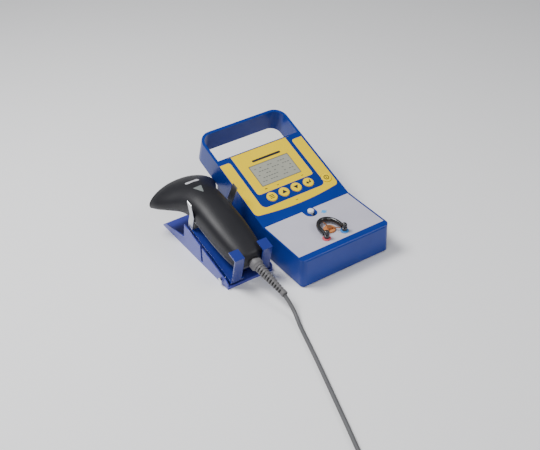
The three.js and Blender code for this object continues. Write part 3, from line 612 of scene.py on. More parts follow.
def sweep(path: Sequence[Vector], section: Sequence[Point], start_up: Point = (0, 0, 1)) -> BMesh:
    """A closed body from one outline carried along a path, with flat ends.

    Args:
        path: the path's points.
        section: the outline, as (across, up) points.
        start_up: the direction of up at the start.

    Returns:
        The working geometry, in the path's units.
    """
    bm = bmesh.new()
    up = Vector(start_up)
    rings: list[list[BMVert]] = []
    for i, point in enumerate(path):
        ahead = path[min(i + 1, len(path) - 1)] - path[max(i - 1, 0)]
        ahead.normalize()
        up = (up - ahead * up.dot(ahead)).normalized()
        side = ahead.cross(up)
        rings.append([bm.verts.new(point + side * x + up * y) for x, y in section])
    bridge(bm, rings)
    bm.faces.new(rings[0])
    bm.faces.new(rings[-1])
    bmesh.ops.recalc_face_normals(bm, faces=bm.faces)
    return bm


# Geometry node trees
class GrownPieces:
    """Geometry Nodes trees for what repeats or winds, and the step that makes them plain meshes."""

    @staticmethod
    def _tree(name: str, inputs: dict[str, object]) -> tuple:
        """An empty tree with a geometry input, named inputs and a material."""
        sockets = {"Geometry": "NodeSocketGeometry", **inputs, "Material": "NodeSocketMaterial"}
        return new_group("GeometryNodeTree", name, sockets, "Geometry", "NodeSocketGeometry")

    @staticmethod
    def _close(tree: NodeTree, start: Node, end: Node, made: Node, output: str) -> NodeTree:
        """Ends a tree in Realize Instances and Set Material."""
        plain = add_node(tree, "GeometryNodeRealizeInstances")
        paint = add_node(tree, "GeometryNodeSetMaterial")
        wire(tree, (made, output, plain, "Geometry"), (plain, "Geometry", paint, "Geometry"),
             (start, "Material", paint, "Material"), (paint, "Geometry", end, "Geometry"))
        return tree

    @cached_property
    def copies(self) -> NodeTree:
        """A tree that sets a copy of one shape on each point of the input mesh."""
        tree, start, end = self._tree("copies on points", {"Shape": "NodeSocketObject", "Taper": 0.0})
        shape = add_node(tree, "GeometryNodeObjectInfo")
        index = add_node(tree, "GeometryNodeInputIndex")
        first_size = 1.0
        scale = add_node(tree, "ShaderNodeMath", {2: first_size}, operation="MULTIPLY_ADD")
        spread = add_node(tree, "GeometryNodeInstanceOnPoints")
        wire(tree, (start, "Shape", shape, "Object"), (index, "Index", scale, 0),
             (start, "Taper", scale, 1), (start, "Geometry", spread, "Points"),
             (shape, "Geometry", spread, "Instance"), (scale, "Value", spread, "Scale"))
        return self._close(tree, start, end, spread, "Instances")

    @cached_property
    def helix(self) -> NodeTree:
        """A tree that winds a round wire into a helix about Z."""
        inputs = {"Turns": 6.0, "Radius": 1.0, "Height": 4.0, "Wire": 0.2}
        tree, start, end = self._tree("wound wire", inputs)
        coil = add_node(tree, "GeometryNodeCurveSpiral", {"Resolution": 20})
        section = add_node(tree, "GeometryNodeCurvePrimitiveCircle", {"Resolution": 8})
        body = add_node(tree, "GeometryNodeCurveToMesh", {"Fill Caps": True})
        wire(tree, (start, "Turns", coil, "Rotations"), (start, "Radius", coil, "Start Radius"),
             (start, "Radius", coil, "End Radius"), (start, "Height", coil, "Height"),
             (start, "Wire", section, "Radius"), (coil, "Curve", body, "Curve"),
             (section, "Curve", body, "Profile Curve"))
        return self._close(tree, start, end, body, "Mesh")

    @cached_property
    def segments(self) -> NodeTree:
        """A tree that lays rows of small bars on a grid and leaves some out by a fixed seed."""
        inputs = {"Width": 36.0, "Height": 18.0, "Columns": 12, "Rows": 3, "Keep": 0.7, "Seed": 4}
        tree, start, end = self._tree("display rows", inputs)
        grid = add_node(tree, "GeometryNodeMeshGrid")
        bar = add_node(tree, "GeometryNodeMeshCube", {"Size": (2.1, 1.1, 0.04)})
        chance = add_node(tree, "FunctionNodeRandomValue", data_type="BOOLEAN")
        kept = 3  # the output that holds a yes or no
        spread = add_node(tree, "GeometryNodeInstanceOnPoints")
        wire(tree, (start, "Width", grid, "Size X"), (start, "Height", grid, "Size Y"),
             (start, "Columns", grid, "Vertices X"), (start, "Rows", grid, "Vertices Y"),
             (start, "Keep", chance, "Probability"), (start, "Seed", chance, "Seed"),
             (grid, "Mesh", spread, "Points"), (chance, kept, spread, "Selection"),
             (bar, "Mesh", spread, "Instance"))
        return self._close(tree, start, end, spread, "Instances")

    @staticmethod
    def grow(tree: NodeTree, values: dict[str, object], points: Sequence[Point] = ((0, 0, 0),)) -> BMesh:
        """Runs a tree on a set of points and returns plain geometry.

        Args:
            tree: the Geometry Nodes tree.
            values: the value of each named input.
            points: the input mesh's points, in millimetres.

        Returns:
            The working geometry, in millimetres.
        """
        seed = bpy.data.meshes.new("seed")
        seed.from_pydata([tuple(p) for p in points], [], [])
        holder = add_object("seed", seed)
        modifier = holder.modifiers.new("grown", "NODES")
        modifier.node_group = tree
        sockets = {s.name: s.identifier for s in tree.interface.items_tree if s.in_out == "INPUT"}
        for label, value in values.items():
            modifier[sockets[label]] = value
        bm = take_shape(holder)
        bmesh.ops.recalc_face_normals(bm, faces=bm.faces)
        return bm

    def on_points(self, shape: BMesh, points: Sequence[Point], taper: float) -> BMesh:
        """Copies of a shape on points.

        Args:
            shape: the shape, in millimetres, about its own origin.
            points: where the copies go.
            taper: what is added to the size for each next copy.

        Returns:
            The copies as working geometry.
        """
        holder = add_object("shape", to_mesh(shape))
        made = self.grow(self.copies, {"Shape": holder, "Taper": taper}, points)
        bpy.data.objects.remove(holder)
        return made


GROWN = GrownPieces()


# Studio
@dataclass
class Studio:
    """The camera, the pale floor and the soft lights."""

    eye: Point = (-407.9, -591.9, 603.0)
    azimuth: float = -32.24
    elevation: float = 36.18
    roll: float = -2.11
    lens: float = 65.2
    sensor: float = 36.0
    far: float = 20.0
    floor_size: float = 6.0
    sky: float = 0.2
    panels: tuple = (
        ("key", (-350, 350, 900), 420, 11),
        ("fill", (-700, -500, 600), 600, 3.5),
        ("front", (500, -500, 700), 500, 3),
    )

    def build(self) -> None:
        """Adds them to the scene."""
        self._camera()
        self._floor()
        for panel in self.panels:
            self._light(*panel)
        world = bpy.data.worlds.new("studio")
        world.use_nodes = True
        daylight = (0.93, 0.95, 1.0, 1)
        set_inputs(world.node_tree.nodes["Background"], {"Color": daylight, "Strength": self.sky})
        bpy.context.scene.world = world
        LOG.info("studio ready")

    def _camera(self) -> None:
        """The camera, from its bearing, height and roll."""
        turn, rise, roll = (math.radians(a) for a in (self.azimuth, self.elevation, self.roll))
        back = Vector((math.sin(turn) * math.cos(rise), -math.cos(turn) * math.cos(rise), math.sin(rise)))
        right = (-back).cross(Vector((0, 0, 1))).normalized()
        up = right.cross(-back)
        across = right * math.cos(roll) + up * math.sin(roll)
        upright = up * math.cos(roll) - right * math.sin(roll)
        data = bpy.data.cameras.new("camera")
        data.sensor_fit = "HORIZONTAL"
        data.sensor_width = self.sensor
        data.lens = self.lens
        data.clip_end = self.far
        camera = add_object("camera", data)
        columns = Matrix((across, upright, back)).transposed().to_4x4()
        camera.matrix_world = Matrix.Translation(CASE_AT @ (Vector(self.eye) * MM)) @ columns
        bpy.context.scene.camera = camera

    def _floor(self) -> None:
        """The plain pale floor."""
        half = self.floor_size / 2
        mesh = bpy.data.meshes.new("floor")
        corners = [(-half, -half, 0), (half, -half, 0), (half, half, 0), (-half, half, 0)]
        mesh.from_pydata(corners, [], [(0, 1, 2, 3)])
        paper = bpy.data.materials.new("floor_paper")
        paper.use_nodes = True
        matt = {"Base Color": (0.95, 0.95, 0.96, 1), "Roughness": 0.7}
        set_inputs(paper.node_tree.nodes["Principled BSDF"], matt)
        mesh.materials.append(paper)
        add_object("floor", mesh)

    @staticmethod
    def _light(name: str, where: Point, size: float, power: float) -> None:
        """A soft panel that faces the object.

        Args:
            name: its name.
            where: its place from the case's corner, in millimetres.
            size: its side, in millimetres.
            power: its power, in watts.
        """
        data = bpy.data.lights.new(name, "AREA")
        data.energy = power
        data.size = size * MM
        light = add_object(name, data)
        light.location = CASE_AT @ (Vector(where) * MM)
        target = CASE_AT @ Vector((0.02, 0.07, 0.03))
        light.rotation_mode = "QUATERNION"
        light.rotation_quaternion = (target - light.location).to_track_quat("-Z", "Y")


# Cords
@dataclass
class ScannerLead:
    """The scanner's lead: out of the strain relief, along the bench, into a coil and its plug."""

    diameter: float = 4.0
    slack: float = 0.02
    sides: int = 14
    lead: tuple = ((-28.3, -9.4, 15.0), (-28.1, -12.6, 13.2), (-27.9, -16.5, 11), (-28.1, -22.4, 8),
                   (-28.9, -28.3, 5.4), (-30.6, -34.5, 3.6), (-33, -42, 2.5))
    bench: tuple = ((-33, -42, 2.5), (-34.8, -48, 2.15), (-36.6, -54, 2.05), (-41, -69, 2.05),
                    (-47.4, -90, 2.05), (-55, -114, 2.05), (-63, -139, 2.05), (-71.3, -165, 2.05),
                    (-78.2, -186, 2.05), (-82.2, -199, 2.2), (-83.8, -207, 2.55), (-84, -212.2, 2.85))
    tail: tuple = ((-148, -212.2, 6.4), (-148, -209.2, 5.7), (-148, -204, 4.8))
    centre: Point = (-116.0, -228.0)
    outer: float = 32.0
    inner: float = 15.7
    low: float = 2.9
    high: float = 7.0
    turns: float = 8.5
    turns_inward: float = 4.0
    steps_per_turn: int = 16
    climb_from: float = 3.85
    climb_turns: float = 0.3
    settled: tuple = (-60, -130, 2.05)

    def build(self, relief: Object, ending: Sequence[object]) -> None:
        """Args:
            relief: the strain relief; not used.
            ending: the tie and the plug's pieces; not used.
        """
        first = [Vector(p) for p in smooth_line(self.lead)]
        upper = self._tube("lead_upper", first)
        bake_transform(upper)
        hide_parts("cord_lead")
        path = smooth_line([*self.bench, *self._coil(), *self.tail], 6)
        lower = self._tube("lead_main", path)
        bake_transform(lower)
        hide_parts("cord_tube", "cord_coil", "cord_tail")

    def _coil(self) -> list[tuple[float, float, float]]:
        """The two layers of turns: in along the bench, up, and out on top."""
        cx, cy = self.centre
        points = []
        inward, outward = self.turns_inward, self.turns - self.turns_inward
        for step in range(1, int(self.turns * self.steps_per_turn)):
            turns = step / self.steps_per_turn
            if turns < inward:
                radius = self.outer + (self.inner - self.outer) * turns / inward
            else:
                radius = self.inner + (self.outer - self.inner) * (turns - inward) / outward
            rise = min(max((turns - self.climb_from) / self.climb_turns, 0), 1)
            angle = -2 * math.pi * turns
            height = self.low + (self.high - self.low) * rise
            points.append((cx + radius * math.cos(angle), cy + radius * math.sin(angle), height))
        return points

    def _tube(self, name: str, path: Sequence[Vector]) -> Object:
        """A round tube along a path of millimetre points."""
        shape = sweep(path, circle(self.diameter / 2 - self.slack, self.sides))
        return add_piece(name, to_mesh(shape, CASE_AT), Finishes.cord, None, sharp=60)

    @staticmethod
    def _at(point: Point) -> Vector:
        """A point from the case's corner in millimetres, as a point of the row frame in metres."""
        return CASE_AT @ (Vector(point) * MM)


# Pieces
def dress(finish: Finish, *nodes: str) -> None:
    """Gives CAD nodes that show as they are their finish."""
    for node in nodes:
        data = frame["nodes"][node].data
        data.materials.clear()
        data.materials.append(finish.material())


def print_on(name: str, at: Matrix, outlines: Sequence[Sequence[Point]], low: float, finish: Finish,
             body: str = "root", thick: float = 0.03) -> None:
    """A printed mark: a very thin slab on a surface."""
    add_piece(name, flat_shape(outlines, low, low + thick, at), finish, body)


@dataclass
class Tester:
    """The tip thermometer: case, display, keys, sensor bay, battery door and feet."""

    edge: float = 0.5
    sheet_top: float = -0.1
    key_top: float = 0.75
    sign_size: float = 1.35
    key_row: float = 29.2
    key_xs: tuple = (29.2, 44.0, 58.9, 74.0)
    power: Point = (94.9, 26.4)
    screen: tuple = (27.5, 75.5, 44.4, 72.4)
    sensor_x: float = 51.0
    sensor_y: float = 17.0
    spacing: float = 21.5
    guard_height: float = 3.9
    guard_reach: float = 15.0
    lever: Point = (53.0, 61.4)

    def build(self) -> None:
        """Builds every piece of the tester."""
        softened("case_shell", Finishes.case_blue, self.edge, 3)
        for node, finish, width in (
            ("bottom_cover", Finishes.navy, 0.25),
            ("battery_door", Finishes.navy, 0.25),
            ("sensor_plate", Finishes.plate, 0.12),
            ("display_overlay", Finishes.yellow, 0.12),
            ("lcd_window", Finishes.lcd, 0.1),
            ("heat_pad", Finishes.pad, 0.3),
            ("battery", Finishes.cell, 0.6),
        ):
            softened(node, finish, width)
        dress(Finishes.foot, "battery_snap")
        dress(Finishes.board, "main_board")
        dress(Finishes.panel, "lcd_module")
        for i in range(1, 5):
            softened(f"foot_{i}", Finishes.foot, 0.2)
            softened(f"case_screw_{i}", Finishes.steel, 0.15)
        self._print()
        self._screen()
        self._keys()
        self._sensor()

    def _print(self) -> None:
        """The blue print on the yellow sheet, and the marks on it."""
        z, blue = self.sheet_top, Finishes.print_blue
        strip = [(13, 91.5), (13, 25.8), *rounded(6, (19, 25.8), 180, 270),
                 *rounded(6, (83.8, 25.8), 270, 360), (89.8, 25.8), (89.8, 91.5), (85.5, 91.5),
                 *rounded(3, (82.5, 39.5), 0, -90), *rounded(3, (20.3, 39.5), 270, 180), (17.3, 91.5)]
        hole = 6.0
        holes = [[(x + hole * p, self.key_row + hole * q) for p, q in circle(1, 40)] for x in self.key_xs]
        print_on("blue_strip", DISPLAY_AT, [strip, *holes], z, blue)
        left = [(0.7, 91.8), (0.7, 86), *rounded(3, (10, 83), 90, 0), (13.1, 91.8)]
        print_on("left_blue_end", DISPLAY_AT, [left], z, blue)
        right = [(89.7, 91.8), *rounded(3, (92.8, 83), 180, 90), (102.9, 86), (102.9, 91.8)]
        print_on("right_blue_end", DISPLAY_AT, [right], z, blue)
        for name, x0, x1, s0, s1 in (
            ("name_bar", 35, 70, 76, 78.8),
            ("mark_a", 28, 31, 40.2, 41.2),
            ("mark_b", 42.2, 44.6, 39.8, 40.5),
            ("mark_c", 72.2, 74.6, 39.6, 40.3),
            ("mark_d", 49.4, 52.4, 15, 15.7),
        ):
            outline = rounded_box(x0, x1, s0, s1, (s1 - s0) / 2.2)
            print_on(name, DISPLAY_AT, [outline], z, Finishes.print_dark)

    def _screen(self) -> None:
        """The display's dark border line and its rows of segments."""
        x0, x1, s0, s1 = self.screen
        rim = 0.7
        inner = rounded_box(x0 + rim, x1 - rim, s0 + rim, s1 - rim, 0.8)
        border = [rounded_box(x0, x1, s0, s1, 1.2), inner]
        print_on("screen_border", DISPLAY_AT, border, -0.14, Finishes.lcd_dark)
        rows = GROWN.grow(GROWN.segments, {
            "Width": 38.0, "Height": 17.5, "Columns": 13, "Rows": 5, "Keep": 0.62, "Seed": 7,
        })
        middle = Matrix.Translation(Vector(((x0 + x1) / 2, (s0 + s1) / 2, -0.12)) * MM)
        add_piece("screen_rows", to_mesh(rows, DISPLAY_AT @ middle), Finishes.lcd_dark, "root")

    def _keys(self) -> None:
        """The five keys and their signs, which ride on them."""
        names = ("menu_key", "up_key", "down_key", "enter_key")
        r = 1.9
        signs = {
            "menu_key": [rounded_box(-2, 2, y - 0.32, y + 0.32, 0.2) for y in (-1.4, 0, 1.4)],
            "up_key": [[(-2.1, -1.3), (2.1, -1.3), (0, 1.9)]],
            "down_key": [[(-2.1, 1.3), (0, -1.9), (2.1, 1.3)]],
            "enter_key": [[(-2.4, -0.4), (-0.6, -2), (-0.6, -0.9), (2.2, -0.9), (2.2, 1.7), (1.2, 1.7),
                           (1.2, 0.1), (-0.6, 0.1), (-0.6, 1.2)]],
            "power_key": [*([(r * c, r * s) for c, s in circle(size, 28)] for size in (1.15, 0.8)),
                          rounded_box(-0.3, 0.3, -1.1, 1.1, 0.2)],
        }
        profile = [(0, -6.2), (3, -6.2), (3, -3.6), (5.6, -3.6), (5.6, 0.1),
                   *rounded(0.5, (5.1, 0.15), 0, 90, 4), (2.5, 0.72), (0, self.key_top)]
        places = dict(zip(names, ((x, self.key_row) for x in self.key_xs)))
        places["power_key"] = self.power
        for name, (x, s) in places.items():
            at = DISPLAY_AT @ place(x, s, 0)
            add_piece(f"{name}_cap", to_mesh(revolve(profile, 40), at), Finishes.key, name, name)
            sign = [[(self.sign_size * p, self.sign_size * q) for p, q in line] for line in signs[name]]
            print_on(f"{name}_sign", at, sign, self.key_top - 0.02, Finishes.print_dark, name, 0.05)

    def _sensor(self) -> None:
        """The terminals, guard, sensor, lever and the small printed icon."""
        knob = [(0, -4.5), (1.5, -4.5), (1.5, 1.4), (2.5, 1.4), *rounded(0.3, (2.5, 1.8), -60, 0, 3),
                (2.8, 4.4), (2.4, 4.8), (1.7, 5.0), *rounded(2.8, (0, 7), -52, 88, 16), (0, 9.8)]
        for side, name, ring in ((-1, "left", Finishes.ring_red), (1, "right", Finishes.ring_blue)):
            at = DECK_AT @ place(self.sensor_x + side * self.spacing / 2, self.sensor_y, 0)
            post = to_mesh(revolve(knob, 36), at)
            add_piece(f"{name}_post", post, Finishes.knob, "root", f"{name}_terminal")
            softened(f"{name}_terminal_ring", ring, 0.12)
        self._guard()
        softened("thermocouple", Finishes.copper, 0.12)
        cap = [(0, 0.3), (2.9, 0.3), *rounded(0.4, (2.9, 0.8), -70, 0, 4), (3.3, 2.3),
               *rounded(1.0, (2.3, 2.4), 0, 80, 6), (0, 3.5)]
        slider = revolve(cap, 40)
        stem = bmesh.ops.create_cube(slider, size=1)["verts"]
        bmesh.ops.scale(slider, vec=(3, 4.4, 6.9), verts=stem)
        bmesh.ops.translate(slider, vec=(0, 0, -3.0), verts=stem)
        slider_mesh = to_mesh(slider, DECK_AT @ place(*self.lever, 0))
        add_piece("slide_knob", slider_mesh, Finishes.white, "slide_lever", "slide_lever")
        coil = GROWN.grow(GROWN.helix, {"Turns": 7.0, "Radius": 1.3, "Height": 8.4, "Wire": 0.25})
        coil_mesh = to_mesh(coil, DECK_AT @ place(53, 72.8, -5.2, tilt=90))
        add_piece("return_spring", coil_mesh, Finishes.steel, "root", "lever_spring")
        icon = [(60.9, 54.6), (64.6, 58.2), (68.3, 54.6), (66.6, 54.6), (66.6, 52.6), (62.6, 52.6),
                (62.6, 54.6)]
        print_on("deck_icon", DECK_AT, [icon], 0, Finishes.icon)

    def _guard(self) -> None:
        """The black moulded guard, smooth right round."""
        r, x, z = self.spacing / 2, self.sensor_x, self.guard_height
        near, far = self.sensor_y + 3.1, self.sensor_y + 8
        steps, sides = 9, 20
        line = [(x - r, near, z), (x - r, far, z)]
        for i in range(1, steps):
            a = math.pi * (1 - i / steps)
            line.append((x + r * math.cos(a), far + self.guard_reach * math.sin(a), z))
        line += [(x + r, far, z), (x + r, near, z)]
        angles = (2 * math.pi * i / sides for i in range(sides))
        section = [(2.1 * math.cos(a), 2.8 * math.sin(a)) for a in angles]
        mesh = to_mesh(sweep(smooth_line(line, 6), section), DECK_AT)
        add_piece("guard_loop", mesh, Finishes.guard, "root", "sensor_guard", sharp=50)


@dataclass
class Cradle:
    """The sheet-metal cradle, its tilting tray, spring clip and screws."""

    def build(self) -> None:
        """Builds every piece of the cradle."""
        softened("cradle_base", Finishes.cradle, 0.35, 3)
        softened("tray", Finishes.tray, 0.35, 3)
        softened("spring_clip", Finishes.steel, 0.2)
        softened("clip_rivet", Finishes.steel, 0.2)
        for side in ("left", "right"):
            softened(f"{side}_pivot_screw", Finishes.chrome, 0.25)


@dataclass
class Station:
    """One section of the scanner's skin, in the tray's plane and above it."""

    top: Point
    bottom: Point
    half: float
    droop: float = 0.0
    sweep: float = 0.0
    power: float = 0.72

    def values(self) -> list[float]:
        """The numbers that a smooth skin is drawn through."""
        return [*self.top, *self.bottom, self.half, self.droop, self.sweep, self.power]

    @staticmethod
    def of(values: Sequence[float]) -> "Station":
        """A section from its numbers."""
        return Station(values[0:2], values[2:4], *values[4:8])


@dataclass
class Scanner:
    """The touch scanner: two shells, window, trigger, lens, badge, screws and strain relief."""

    wall: float = 2.0
    thinnest: float = 0.3
    groove: float = 0.3
    around: int = 26
    spring_at: float = 96.0
    steps_between: int = 6
    drawn_in: tuple = ((0.5, 1.2), (0.8, 1.35), (0.93, 1.75))
    seam: tuple = ((-30.0, 13.2), (72.0, 13.2), (92.0, 8.0), (112.0, -3.0), (132.0, -15.0), (170.0, -40.0))
    stations: tuple = field(default_factory=lambda: (
        Station((2.4, 25.5), (2.4, 12.5), 9.2, 0, 0, 0.8),
        Station((5, 28), (4.2, 7.2), 13.4, 0, 0, 0.75),
        Station((12, 29.6), (11, 3.2), 16.2),
        Station((26, 31.2), (25, 1.7), 18.4),
        Station((48, 32.6), (48, 1.7), 19.6),
        Station((68, 32.6), (67, 1.7), 19.6, 0, 0, 0.75),
        Station((85, 31.4), (83, 1.7), 19.6, 0, 0, 0.8),
        Station((98, 28.4), (93, -0.5), 21.5, 0.5, 0.5, 0.9),
        Station((110, 23.4), (102, -4.6), 26, 1, 1, 1),
        Station((121, 17), (111.5, -9), 32, 1.5, 2, 1.0),
        Station((131, 9.8), (121.5, -13.2), 36.3, 2, 3, 0.95),
        Station((139, 2.8), (129.5, -16.6), 37.8, 2, 4, 0.92),
    ))

    def build(self) -> None:
        """Builds every piece of the scanner but its strain relief."""
        top = self._shell("scanner_top", True, Finishes.handset, "handset_top")
        self._shell("scanner_bottom", False, Finishes.shell_grey, "handset_bottom")
        softened("scan_window", Finishes.window, 0.3)
        softened("trigger", Finishes.handset, 0.5)
        triangle = [*rounded(0.6, (-4, 102.2), 90, 210, 3), *rounded(0.6, (0, 92), 210, 330, 3),
                    *rounded(0.6, (4, 102.2), 330, 450, 3)]
        self._inlaid("head_lens", triangle, 0.2, Finishes.lens, "indicator_lens", top)
        pill = rounded_box(-5, 11, 114, 118.2, 2.05)
        self._inlaid("head_badge", pill, 0.25, Finishes.badge, "name_badge", top)
        softened("handset_screw_1", Finishes.steel, 0.15)
        softened("handset_screw_2", Finishes.steel, 0.15)
        dress(Finishes.board, "scan_board")
        dress(Finishes.shell_grey, "scan_engine")
        wound = GROWN.grow(GROWN.helix, {"Turns": 4.0, "Radius": 1.6, "Height": 2.9, "Wire": 0.25})
        mesh = to_mesh(wound, HANDSET_AT @ place(0, self.spring_at, 3.9))
        coil = add_piece("trigger_coil", mesh, Finishes.steel, "handset", "trigger_spring")
        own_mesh(coil)

    def _sections(self) -> list[Station]:
        """Sections close enough together for a smooth skin, with the small end drawn in."""
        rows = [s.values() for s in self.stations]
        rows = [[2 * a - b for a, b in zip(rows[0], rows[1])], *rows]
        rows.append([2 * a - b for a, b in zip(rows[-1], rows[-2])])
        found: list[Station] = []
        for a, b, c, d in zip(rows, rows[1:], rows[2:], rows[3:]):
            for i in range(self.steps_between):
                t = i / self.steps_between
                found.append(Station.of([self._between(*four, t) for four in zip(a, b, c, d)]))
        found.append(self.stations[-1])
        head = found[0]
        middle = (head.top[1] + head.bottom[1]) / 2
        small = []
        for size, v in self.drawn_in:
            high = middle + (head.top[1] - middle) * size
            low = middle + (head.bottom[1] - middle) * size
            small.append(Station((v, high), (v, low), head.half * size, 0, 0, head.power))
        return small + found

    @staticmethod
    def _between(a: float, b: float, c: float, d: float, t: float) -> float:
        """A smooth value between b and c that doesn't overshoot."""
        m0 = 0.0 if (b - a) * (c - b) <= 0 else 2 * (b - a) * (c - b) / (c - a)
        m1 = 0.0 if (c - b) * (d - c) <= 0 else 2 * (c - b) * (d - c) / (d - b)
        h = t * t * (3 - 2 * t)
        return b + (c - b) * h + m0 * t * (1 - t) ** 2 - m1 * t * t * (1 - t)

    def _seam(self, v: float) -> float:
        """The height of the seam between the shells."""
        for (v0, w0), (v1, w1) in zip(self.seam, self.seam[1:]):
            if v <= v1:
                return w0 + (w1 - w0) * (v - v0) / (v1 - v0)
        return self.seam[-1][1]

    @staticmethod
    def _skin_point(s: Station, angle: float, inset: float) -> Vector:
        """A point of a section; the angle is 0 at the bottom and 180 degrees on top."""
        span = Vector(s.top) - Vector(s.bottom)
        tall = span.length
        up = span / tall
        middle = (Vector(s.top) + Vector(s.bottom)) / 2
        across = math.copysign(abs(math.sin(angle)) ** s.power, math.sin(angle))
        rise = -math.copysign(abs(math.cos(angle)) ** s.power, math.cos(angle))
        lift = rise * (tall / 2 - inset) - s.droop * across * across
        v = middle.x + up.x * lift - s.sweep * across * across
        return Vector((across * (s.half - inset), v, middle.y + up.y * lift))

    def _seam_angle(self, s: Station, upper: bool) -> float:
        """The angle at which a section meets its side of the seam."""
        gap = self.groove / 2 if upper else -self.groove / 2
        low, high = math.radians(20), math.radians(160)
        halvings = 24
        for _ in range(halvings):
            angle = (low + high) / 2
            point = self._skin_point(s, angle, 0)
            if point.z < self._seam(point.y) + gap:
                low = angle
            else:
                high = angle
        return low

    @staticmethod
    def _inlaid(name: str, outline: Sequence[Point], proud: float, finish: Finish, node: str,
                skin: Object) -> None:
        """A flat inlay that follows the curve of the shell that it is set in.

        Args:
            name: the piece's name.
            outline: its outline across and along the scanner, in millimetres.
            proud: how far it stands out of the shell, in millimetres.
            finish: its finish.
            node: the CAD node that it stands for.
            skin: the shell.
        """
        corners = [v.co for v in skin.data.vertices]
        tree = BVHTree.FromPolygons(corners, [p.vertices for p in skin.data.polygons])
        middle = sum((Vector((*p, 0)) for p in outline), Vector()) / len(outline)
        up = (HANDSET_AT.to_3x3() @ Vector((0, 0, 1))).normalized()
        bm = bmesh.new()
        steps, clear, depth = 6, 70, -0.6

        def on_skin(flat: Vector, height: float) -> BMVert:
            """A corner over the shell, at a height above its surface."""
            above = HANDSET_AT @ (Vector((flat.x, flat.y, clear)) * MM)
            return bm.verts.new(tree.ray_cast(above, -up)[0] + up * height * MM)

        edges = []
        for height in (proud, depth):
            rings = []
            for k in range(steps, 0, -1):
                lines = (middle.lerp(Vector((x, v, 0)), k / steps) for x, v in outline)
                rings.append([on_skin(flat, height) for flat in lines])
            rings.append([on_skin(middle, height)])
            bridge(bm, rings)
            edges.append(rings[0])
        bridge(bm, edges)
        bmesh.ops.recalc_face_normals(bm, faces=bm.faces)
        add_piece(name, to_mesh(bm), finish, "handset", node)

    def _shell(self, name: str, upper: bool, finish: Finish, node: str) -> Object:
        """One shell: an outer skin and an inner one, closed along the seam and at both ends."""
        bm = bmesh.new()
        layers = []
        sections = self._sections()
        for inset in (0.0, self.wall):
            rows = []
            for s in sections:
                edge = self._seam_angle(s, upper)
                first, last = (edge, 2 * math.pi - edge) if upper else (-edge, edge)
                thin = min(inset, s.half * self.thinnest)
                angles = (first + (last - first) * i / self.around for i in range(self.around + 1))
                rows.append([bm.verts.new(self._skin_point(s, a, thin)) for a in angles])
            layers.append(rows)
        outer, inner = layers
        for rows in layers:
            for low, high in zip(rows, rows[1:]):
                for i in range(self.around):
                    bm.faces.new((low[i], low[i + 1], high[i + 1], high[i]))
        for a, b, c, d in zip(outer, outer[1:], inner, inner[1:]):
            for i in (0, self.around):
                bm.faces.new((a[i], b[i], d[i], c[i]))
        for i in range(self.around):
            for end in (0, -1):
                bm.faces.new((outer[end][i], outer[end][i + 1], inner[end][i + 1], inner[end][i]))
        bmesh.ops.recalc_face_normals(bm, faces=bm.faces)
        return add_piece(name, to_mesh(bm, HANDSET_AT), finish, "handset", node, sharp=50)


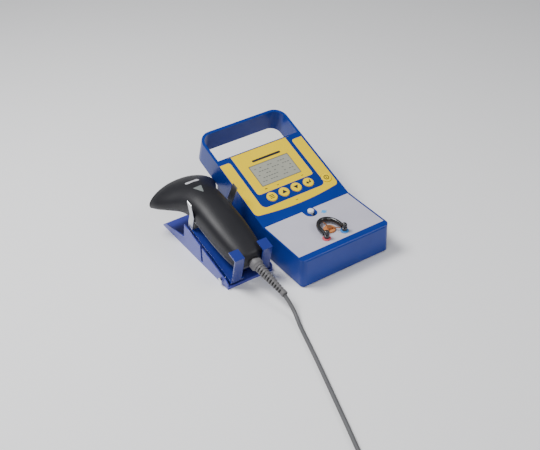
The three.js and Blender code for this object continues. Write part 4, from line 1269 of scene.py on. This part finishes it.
@dataclass
class StrainRelief:
    """The ribbed grip where the lead leaves the scanner."""

    height: float = 19.5
    yaw: float = 0.055
    pitch: float = 0.035
    ribs: int = 10
    first_rib: float = -10.2
    pitch_of_ribs: float = 3.4
    width: float = 1.9
    taper: float = -0.034
    tip: float = -47.4
    root: float = -8.0

    def build(self) -> Object:
        """Makes the collar, the core and the ribs; the core is painted near-black as the shade in the gaps
        between the ribs.

        Returns:
            The piece that the lead comes out of.
        """
        turn = Matrix.Rotation(self.yaw, 4, "Z") @ Matrix.Rotation(-math.pi / 2 - self.pitch, 4, "X")
        at = HANDSET_AT @ place(0, 0, self.height) @ turn
        end = self.tip
        core = [(0, end + 3), (2.3, end + 3), (2.3, end + 1), (2.7, end + 1), (3.3, -14), (3.9, self.root),
                (0, self.root)]
        mesh = to_mesh(revolve(core, 40), at)
        # the core's near-black is painted shade for the gaps between the ribs
        body = add_piece("relief_core", mesh, Finishes.relief_painted_shade, "handset", "strain_relief")
        collar = [(0, -8.6), (5.0, -8.6), (5.4, -7), (6.2, -6.2), *rounded(0.5, (6.1, -5.6), -60, 0, 3),
                  (6.6, -2.2), *rounded(0.5, (6.1, -1.9), 0, 90, 4), (4.2, -1.4), (4.2, 5), (0, 5)]
        add_piece("relief_collar", to_mesh(revolve(collar), at), Finishes.relief, "handset")
        half = self.width / 2
        rib = revolve([(0, -half), (4.4, -half), *rounded(0.35, (4.65, 0.35 - half), -90, 0, 3),
                       *rounded(0.35, (4.65, half - 0.35), 0, 90, 3), (4.4, half), (0, half)], 36)
        places = [(0, 0, self.first_rib - i * self.pitch_of_ribs) for i in range(self.ribs)]
        rings = GROWN.on_points(rib, places, self.taper)
        end_ring = revolve([(2.2, end), (2.9, end), *rounded(0.4, (3.0, end + 0.4), -90, 0, 3),
                            (3.4, end + 4), (0, end + 4), (0, end + 3), (2.2, end + 3)], 36)
        for name, shape in (("relief_ribs", rings), ("relief_tip", end_ring)):
            add_piece(name, to_mesh(shape, at), Finishes.relief, "handset", sharp=40)
        for side in (-1, 1):
            spine = bmesh.new()
            bmesh.ops.create_cube(spine, size=1)
            for vert in spine.verts:
                far = vert.co.z < 0
                reach = 2.9 if far else 4.4
                outward = reach if vert.co.y * side > 0 else 1.5
                wide, along = (2.4, end + 2) if far else (3.4, self.root)
                vert.co = Vector((vert.co.x * wide, side * outward, along))
            bmesh.ops.recalc_face_normals(spine, faces=spine.faces)
            name = f"relief_spine_{'top' if side > 0 else 'under'}"
            add_piece(name, to_mesh(spine, at), Finishes.relief, "handset")
        return body


def main() -> None:
    """Builds the object, piece by piece."""
    logging.basicConfig(level=logging.INFO, format="%(name)s: %(message)s")
    Studio().build()
    relief = StrainRelief().build()
    ending = [
        softened("cord_tie", Finishes.plug, 0.3),
        softened("plug_body", Finishes.plug, 0.8, 3),
        softened("plug_shell", Finishes.steel, 0.2),
    ]
    ScannerLead().build(relief, ending)
    Tester().build()
    Cradle().build()
    Scanner().build()


if __name__ == "__main__":
    main()
